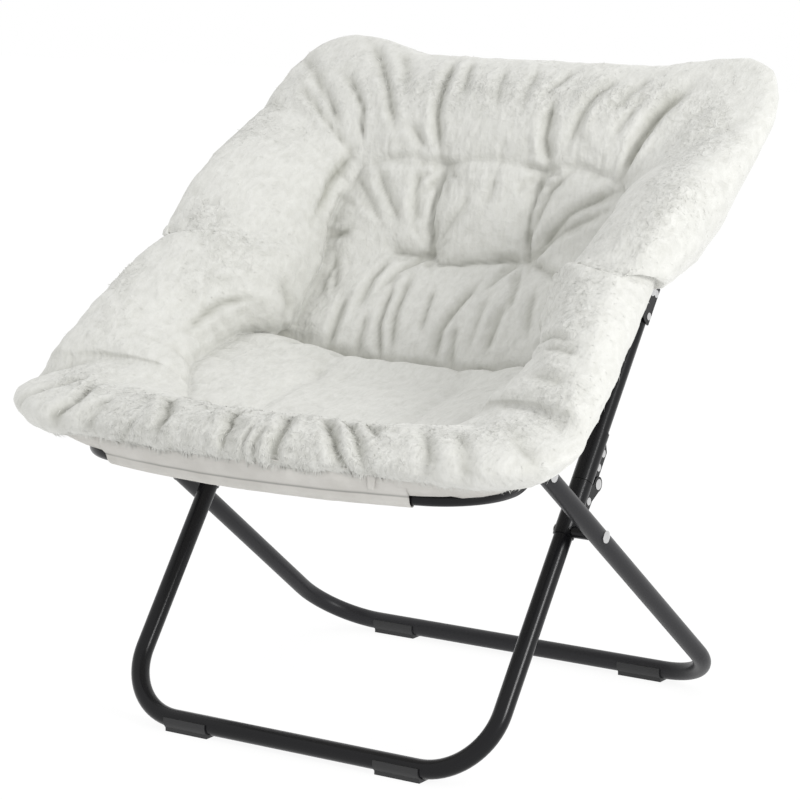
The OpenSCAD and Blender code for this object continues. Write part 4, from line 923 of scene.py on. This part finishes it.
def thick_sheet(name, grid, seed, wrinkle, body, node):
    """A sheet of cloth from a grid of places, with soft wrinkles and two faces, riding on one body."""
    rows, cols = grid.shape[:2]
    cross = np.cross(np.gradient(grid, axis=0), np.gradient(grid, axis=1))
    size = np.linalg.norm(cross, axis=2)
    normal = (cross / (size[..., None] + TINY)).reshape(-1, 3)
    flat = grid.reshape(-1, 3)
    wave = wrinkle * (noise(flat, 26, seed) + 0.5 * noise(flat, 11, seed + 1))
    top = flat + normal * (CLOTH_T / 2 + wave)[:, None]
    bottom = flat + normal * (wave - CLOTH_T / 2)[:, None]
    ids = np.arange(rows * cols).reshape(rows, cols)
    upper = np.stack([ids[:-1, :-1], ids[1:, :-1], ids[1:, 1:], ids[:-1, 1:]], -1).reshape(-1, 4)
    lower = upper[:, ::-1] + rows * cols
    rim = np.concatenate([ids[0], ids[1:, -1], ids[-1, -2::-1], ids[-2:0:-1, 0]])
    turned = np.roll(rim, -1)
    edge = np.stack([rim, turned, turned + rows * cols, rim + rows * cols], -1)
    ob = object_from(name, np.concatenate([top, bottom]), np.concatenate([upper, lower, edge]))
    ob.data.materials.append(finishes["cloth"])
    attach(ob, body)
    if node:
        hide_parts(node)
    return ob


def sleeve_ring(r, ear, steps):
    """Places round a tube, starting and ending at the sewn ear above it."""
    turn = np.linspace(-math.pi * 0.94, math.pi * 0.94, steps)
    peak = np.abs(turn / math.pi) ** 7
    radius = r + ear * peak
    return np.stack([radius * np.sin(turn), -radius * np.cos(turn)], -1)


def sleeve(name, start, end, up, r, seed, body, tube, node):
    """A sleeve of cloth round a straight length of tube, its sewn edges up against the padding."""
    length = np.linalg.norm(end - start)
    rows = int(length / 7)
    axis = (end - start) / length
    side = np.cross(axis, up)
    ring = sleeve_ring(r, 3.2, 34)
    grid = []
    for s in np.linspace(0, 1, rows + 1):
        pull = 1 + 0.05 * math.sin(s * rows * 0.9) + 0.03 * math.sin(s * rows * 0.37 + seed)
        c = start + (end - start) * s
        grid.append(c + (ring[:, :1] * side + ring[:, 1:] * up) * pull)
    return thick_sheet(name, np.array(grid), seed, 0.45, body, node)


BACK_SLEEVE_R, SEAT_SLEEVE_R = LEG_R + 1.3, SEAT_R + 1.3
SLEEVE_START = HINGE_A + 24.6
side_ends = [side_point(SIDE_LEN * k) for k in (0.14, 0.88)]
back_ends = [back_point(FRONT_X, a) for a in (SLEEVE_START, TOP_A - CORNER_R)]
top_ends = [back_point(x, TOP_A) for x in (-FRONT_X + CORNER_R, FRONT_X - CORNER_R)]
FLIP = np.array([-1.0, 1, 1])


def pair(name, ends, up, r, seed, body, tube, node):
    """The same sleeve on both sides of the chair."""
    sleeve(name + "_right", ends[0], ends[1], up, r, seed, body, tube, node)
    sleeve(name + "_left", ends[0] * FLIP, ends[1] * FLIP, up, r, seed + 5, body, tube, None)


pair("seat_sleeve", side_ends, SIDE_UP, SEAT_SLEEVE_R, 21,
     "seat_frame", "seat_ring_tube", "seat_side_sleeves")
pair("back_sleeve", back_ends, BACK_UP, BACK_SLEEVE_R, 31,
     "back_frame", "back_ring_tube", "back_side_sleeves")
sleeve("top_sleeve_cloth", *top_ends, BACK_UP, BACK_SLEEVE_R, 41,
       "back_frame", "back_ring_tube", "top_sleeve")

# The band in front: it hangs from inside the fur's lower edge, goes round the tube and is sewn back to itself
FRONT_SHARE = 0.95
BAND = [(13, 33), (20, 29), (22.5, 21), (20.5, 13), (15.5, 6.5), (12.2, 1.5), (10.4, -4), (5, -9), (-2, -9.9),
        (-8, -6), (-9.9, 1), (-7.5, 7), (-2, 10.5)]
STITCH_AT = 0.4


def front_band():
    """The cloth from the fur's lower front edge down round the bowed tube."""
    share = np.linspace(0, 1, 40)
    o, n = evenly(BAND, share, 61)[0].T
    stitch = 1.3 * np.exp(-((share - STITCH_AT) / 0.018) ** 2)
    grid = []
    for beta in np.linspace(-BOW_HALF * FRONT_SHARE, BOW_HALF * FRONT_SHARE, 150):
        slack = np.clip(1 - share / STITCH_AT, 0, 1)
        sag = slack * (1.6 * math.sin(beta * 95) + 1.1 * math.sin(beta * 41 + 1) + 0.8 * math.sin(beta * 173))
        r = BOW_R + o + sag - stitch
        x, y = r * math.sin(beta), BOW_CY - r * math.cos(beta)
        grid.append(np.stack([x, y, SEAT_Z + n - stitch * 0.4], -1))
    return np.array(grid)


band_grid = front_band()
band = thick_sheet("front_band", band_grid, 51, 0.4, "seat_frame", "front_sleeve")
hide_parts("front_sleeve", "front_skirt")
rows, cols = band_grid.shape[:2]
# Painted shade along the band's stitched groove, stronger in some places than others
across = np.abs(np.arange(cols) / (cols - 1) - STITCH_AT)
stitch_shade = np.tile(np.clip(1.4 - across / 0.012, 0, 1), (rows, 1)) * np.clip(
    1.2 + noise(band_grid[:, 20], 60, 61)[:, None], 0.2, 1)
paint(band, "stitch_shade", np.tile(stitch_shade.ravel(), 2))

# Loose hairs: they stand out from the rolls and hang over the front band


def hairs(name, skin, count, rows, half, length, width, lift, even, seed):
    """Thin tapering blades of pile on ring rows of the skin, even or mostly where the pile is curled."""
    pick = np.random.default_rng(seed)
    row = pick.integers(rows[0], rows[1], count)
    j = pick.integers(0, skin.m, count)
    at = skin.n0 + (row - 1) * skin.m + j
    keep = (np.abs(skin.st[at]) < half) & (pick.uniform(size=count) < even + skin.shag[at])
    at, j = at[keep], j[keep]
    beside = at - j + (j + 1) % skin.m
    out = skin.points[at + skin.m] - skin.points[at]
    side = skin.points[beside] - skin.points[at]
    root = skin.points[at] + out * pick.uniform(0, 1, (len(at), 1)) + side * pick.uniform(0, 1, (len(at), 1))
    out, side = unit(out), unit(side)
    up = skin.normals()[at]
    angle = (1.3 * noise(root, 16, seed) + pick.normal(0, 0.3, len(at)))[:, None]
    way = unit(out * np.cos(angle) + side * np.sin(angle) + up * pick.uniform(0.4, 1.4, (len(at), 1)) * lift)
    size = length * pick.uniform(0.6, 1.3, (len(at), 1))
    root = root - up * 0.8
    bend = out * 0.16 * size - np.array([0, 0, 0.1]) * size
    wide = unit(np.cross(way, up)) * width / 2
    points = np.stack([root - wide, root + wide, root + way * size * 0.55 + wide * 0.8,
                       root + way * size * 0.55 - wide * 0.8, root + way * size + bend], 1).reshape(-1, 3)
    first = np.arange(len(at))[:, None] * 5
    faces = (first + [0, 1, 2, 3]).tolist() + (first + [3, 2, 4]).tolist()
    ob = object_from(name, points, faces, smooth=False)
    ob.data.materials.append(finishes["fur"])
    return ob


fringe = hairs("fur_fringe", cover_skin, 9000, (72, 79), 15, 9, 1.2, 0.25, 1.0, 71)
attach(fringe, "seat_frame")
pile = hairs("fur_pile", cover_skin, 22000, (14, 74), 60, 6.5, 1.0, 0.24, 0.06, 72)
across_hinge(pile)

# A short white tab of ribbon, sewn in under the fur's front edge
TAB_BETA, TAB_W, TAB_LEN = 0.205, 11, 17
tab_grid = []
for k in np.linspace(0, 1, 8):
    r, z = BOW_R + 23 + 3.5 * k, SEAT_Z + 28 - TAB_LEN * k
    betas = TAB_BETA + np.linspace(-TAB_W / 2, TAB_W / 2, 5) * (1 - 0.35 * k) / BOW_R
    tab_grid.append([[r * math.sin(beta), BOW_CY - r * math.cos(beta), z] for beta in betas])
thick_sheet("edge_tab", np.array(tab_grid), 81, 0.2, "seat_frame", None)

# Camera and light

CAM_AZ, CAM_EL = math.radians(33.2709), math.radians(10.6651)
CAM_DISTANCE, CAM_LENS = 3.30212, 125.94
TARGET = Vector((-0.00039, 0, 0.37599))


def aimed(ob, toward):
    ob.rotation_mode = "QUATERNION"
    ob.rotation_quaternion = toward.to_track_quat("-Z", "Y")
    scene.collection.objects.link(ob)
    return ob


level = math.cos(CAM_EL)
away = Vector((math.sin(CAM_AZ) * level, -math.cos(CAM_AZ) * level, math.sin(CAM_EL)))
lens = bpy.data.cameras.new("camera")
lens.sensor_width = 36
lens.lens = CAM_LENS
camera = bpy.data.objects.new("camera", lens)
camera.location = TARGET + away * CAM_DISTANCE
scene.camera = aimed(camera, -away)

KEY_PLACE, KEY_SIZE, KEY_POWER = (3.0, -0.7, 1.5), (0.7, 0.9), 46
key = bpy.data.lights.new("key_light", "AREA")
key.shape = "RECTANGLE"
key.size, key.size_y = KEY_SIZE
key.energy = KEY_POWER
key_light = bpy.data.objects.new("key_light", key)
key_light.location = KEY_PLACE
aimed(key_light, TARGET - Vector(KEY_PLACE))

world = bpy.data.worlds.new("world")
scene.world = world
world.use_nodes = True
background = world.node_tree.nodes["Background"].inputs
background[0].default_value = (1, 1, 1, 1)
background[1].default_value = 1.0
scene.view_settings.view_transform = "Standard"

# A white studio floor that lights itself, so that only soft contact shadows show
white = Surface("floor", (0.12, 0.12, 0.12), 1.0, Specular_IOR_Level=0.0)
white.set(white.shader, {"Emission Color": (1, 1, 1, 1), "Emission Strength": 0.9})
FLOOR_HALF = 9000
corners = [(x * FLOOR_HALF, y * FLOOR_HALF, 0) for x, y in ((-1, -1), (1, -1), (1, 1), (-1, 1))]
floor = object_from("floor", corners, [(0, 1, 2, 3)])
floor.data.materials.append(white.material)
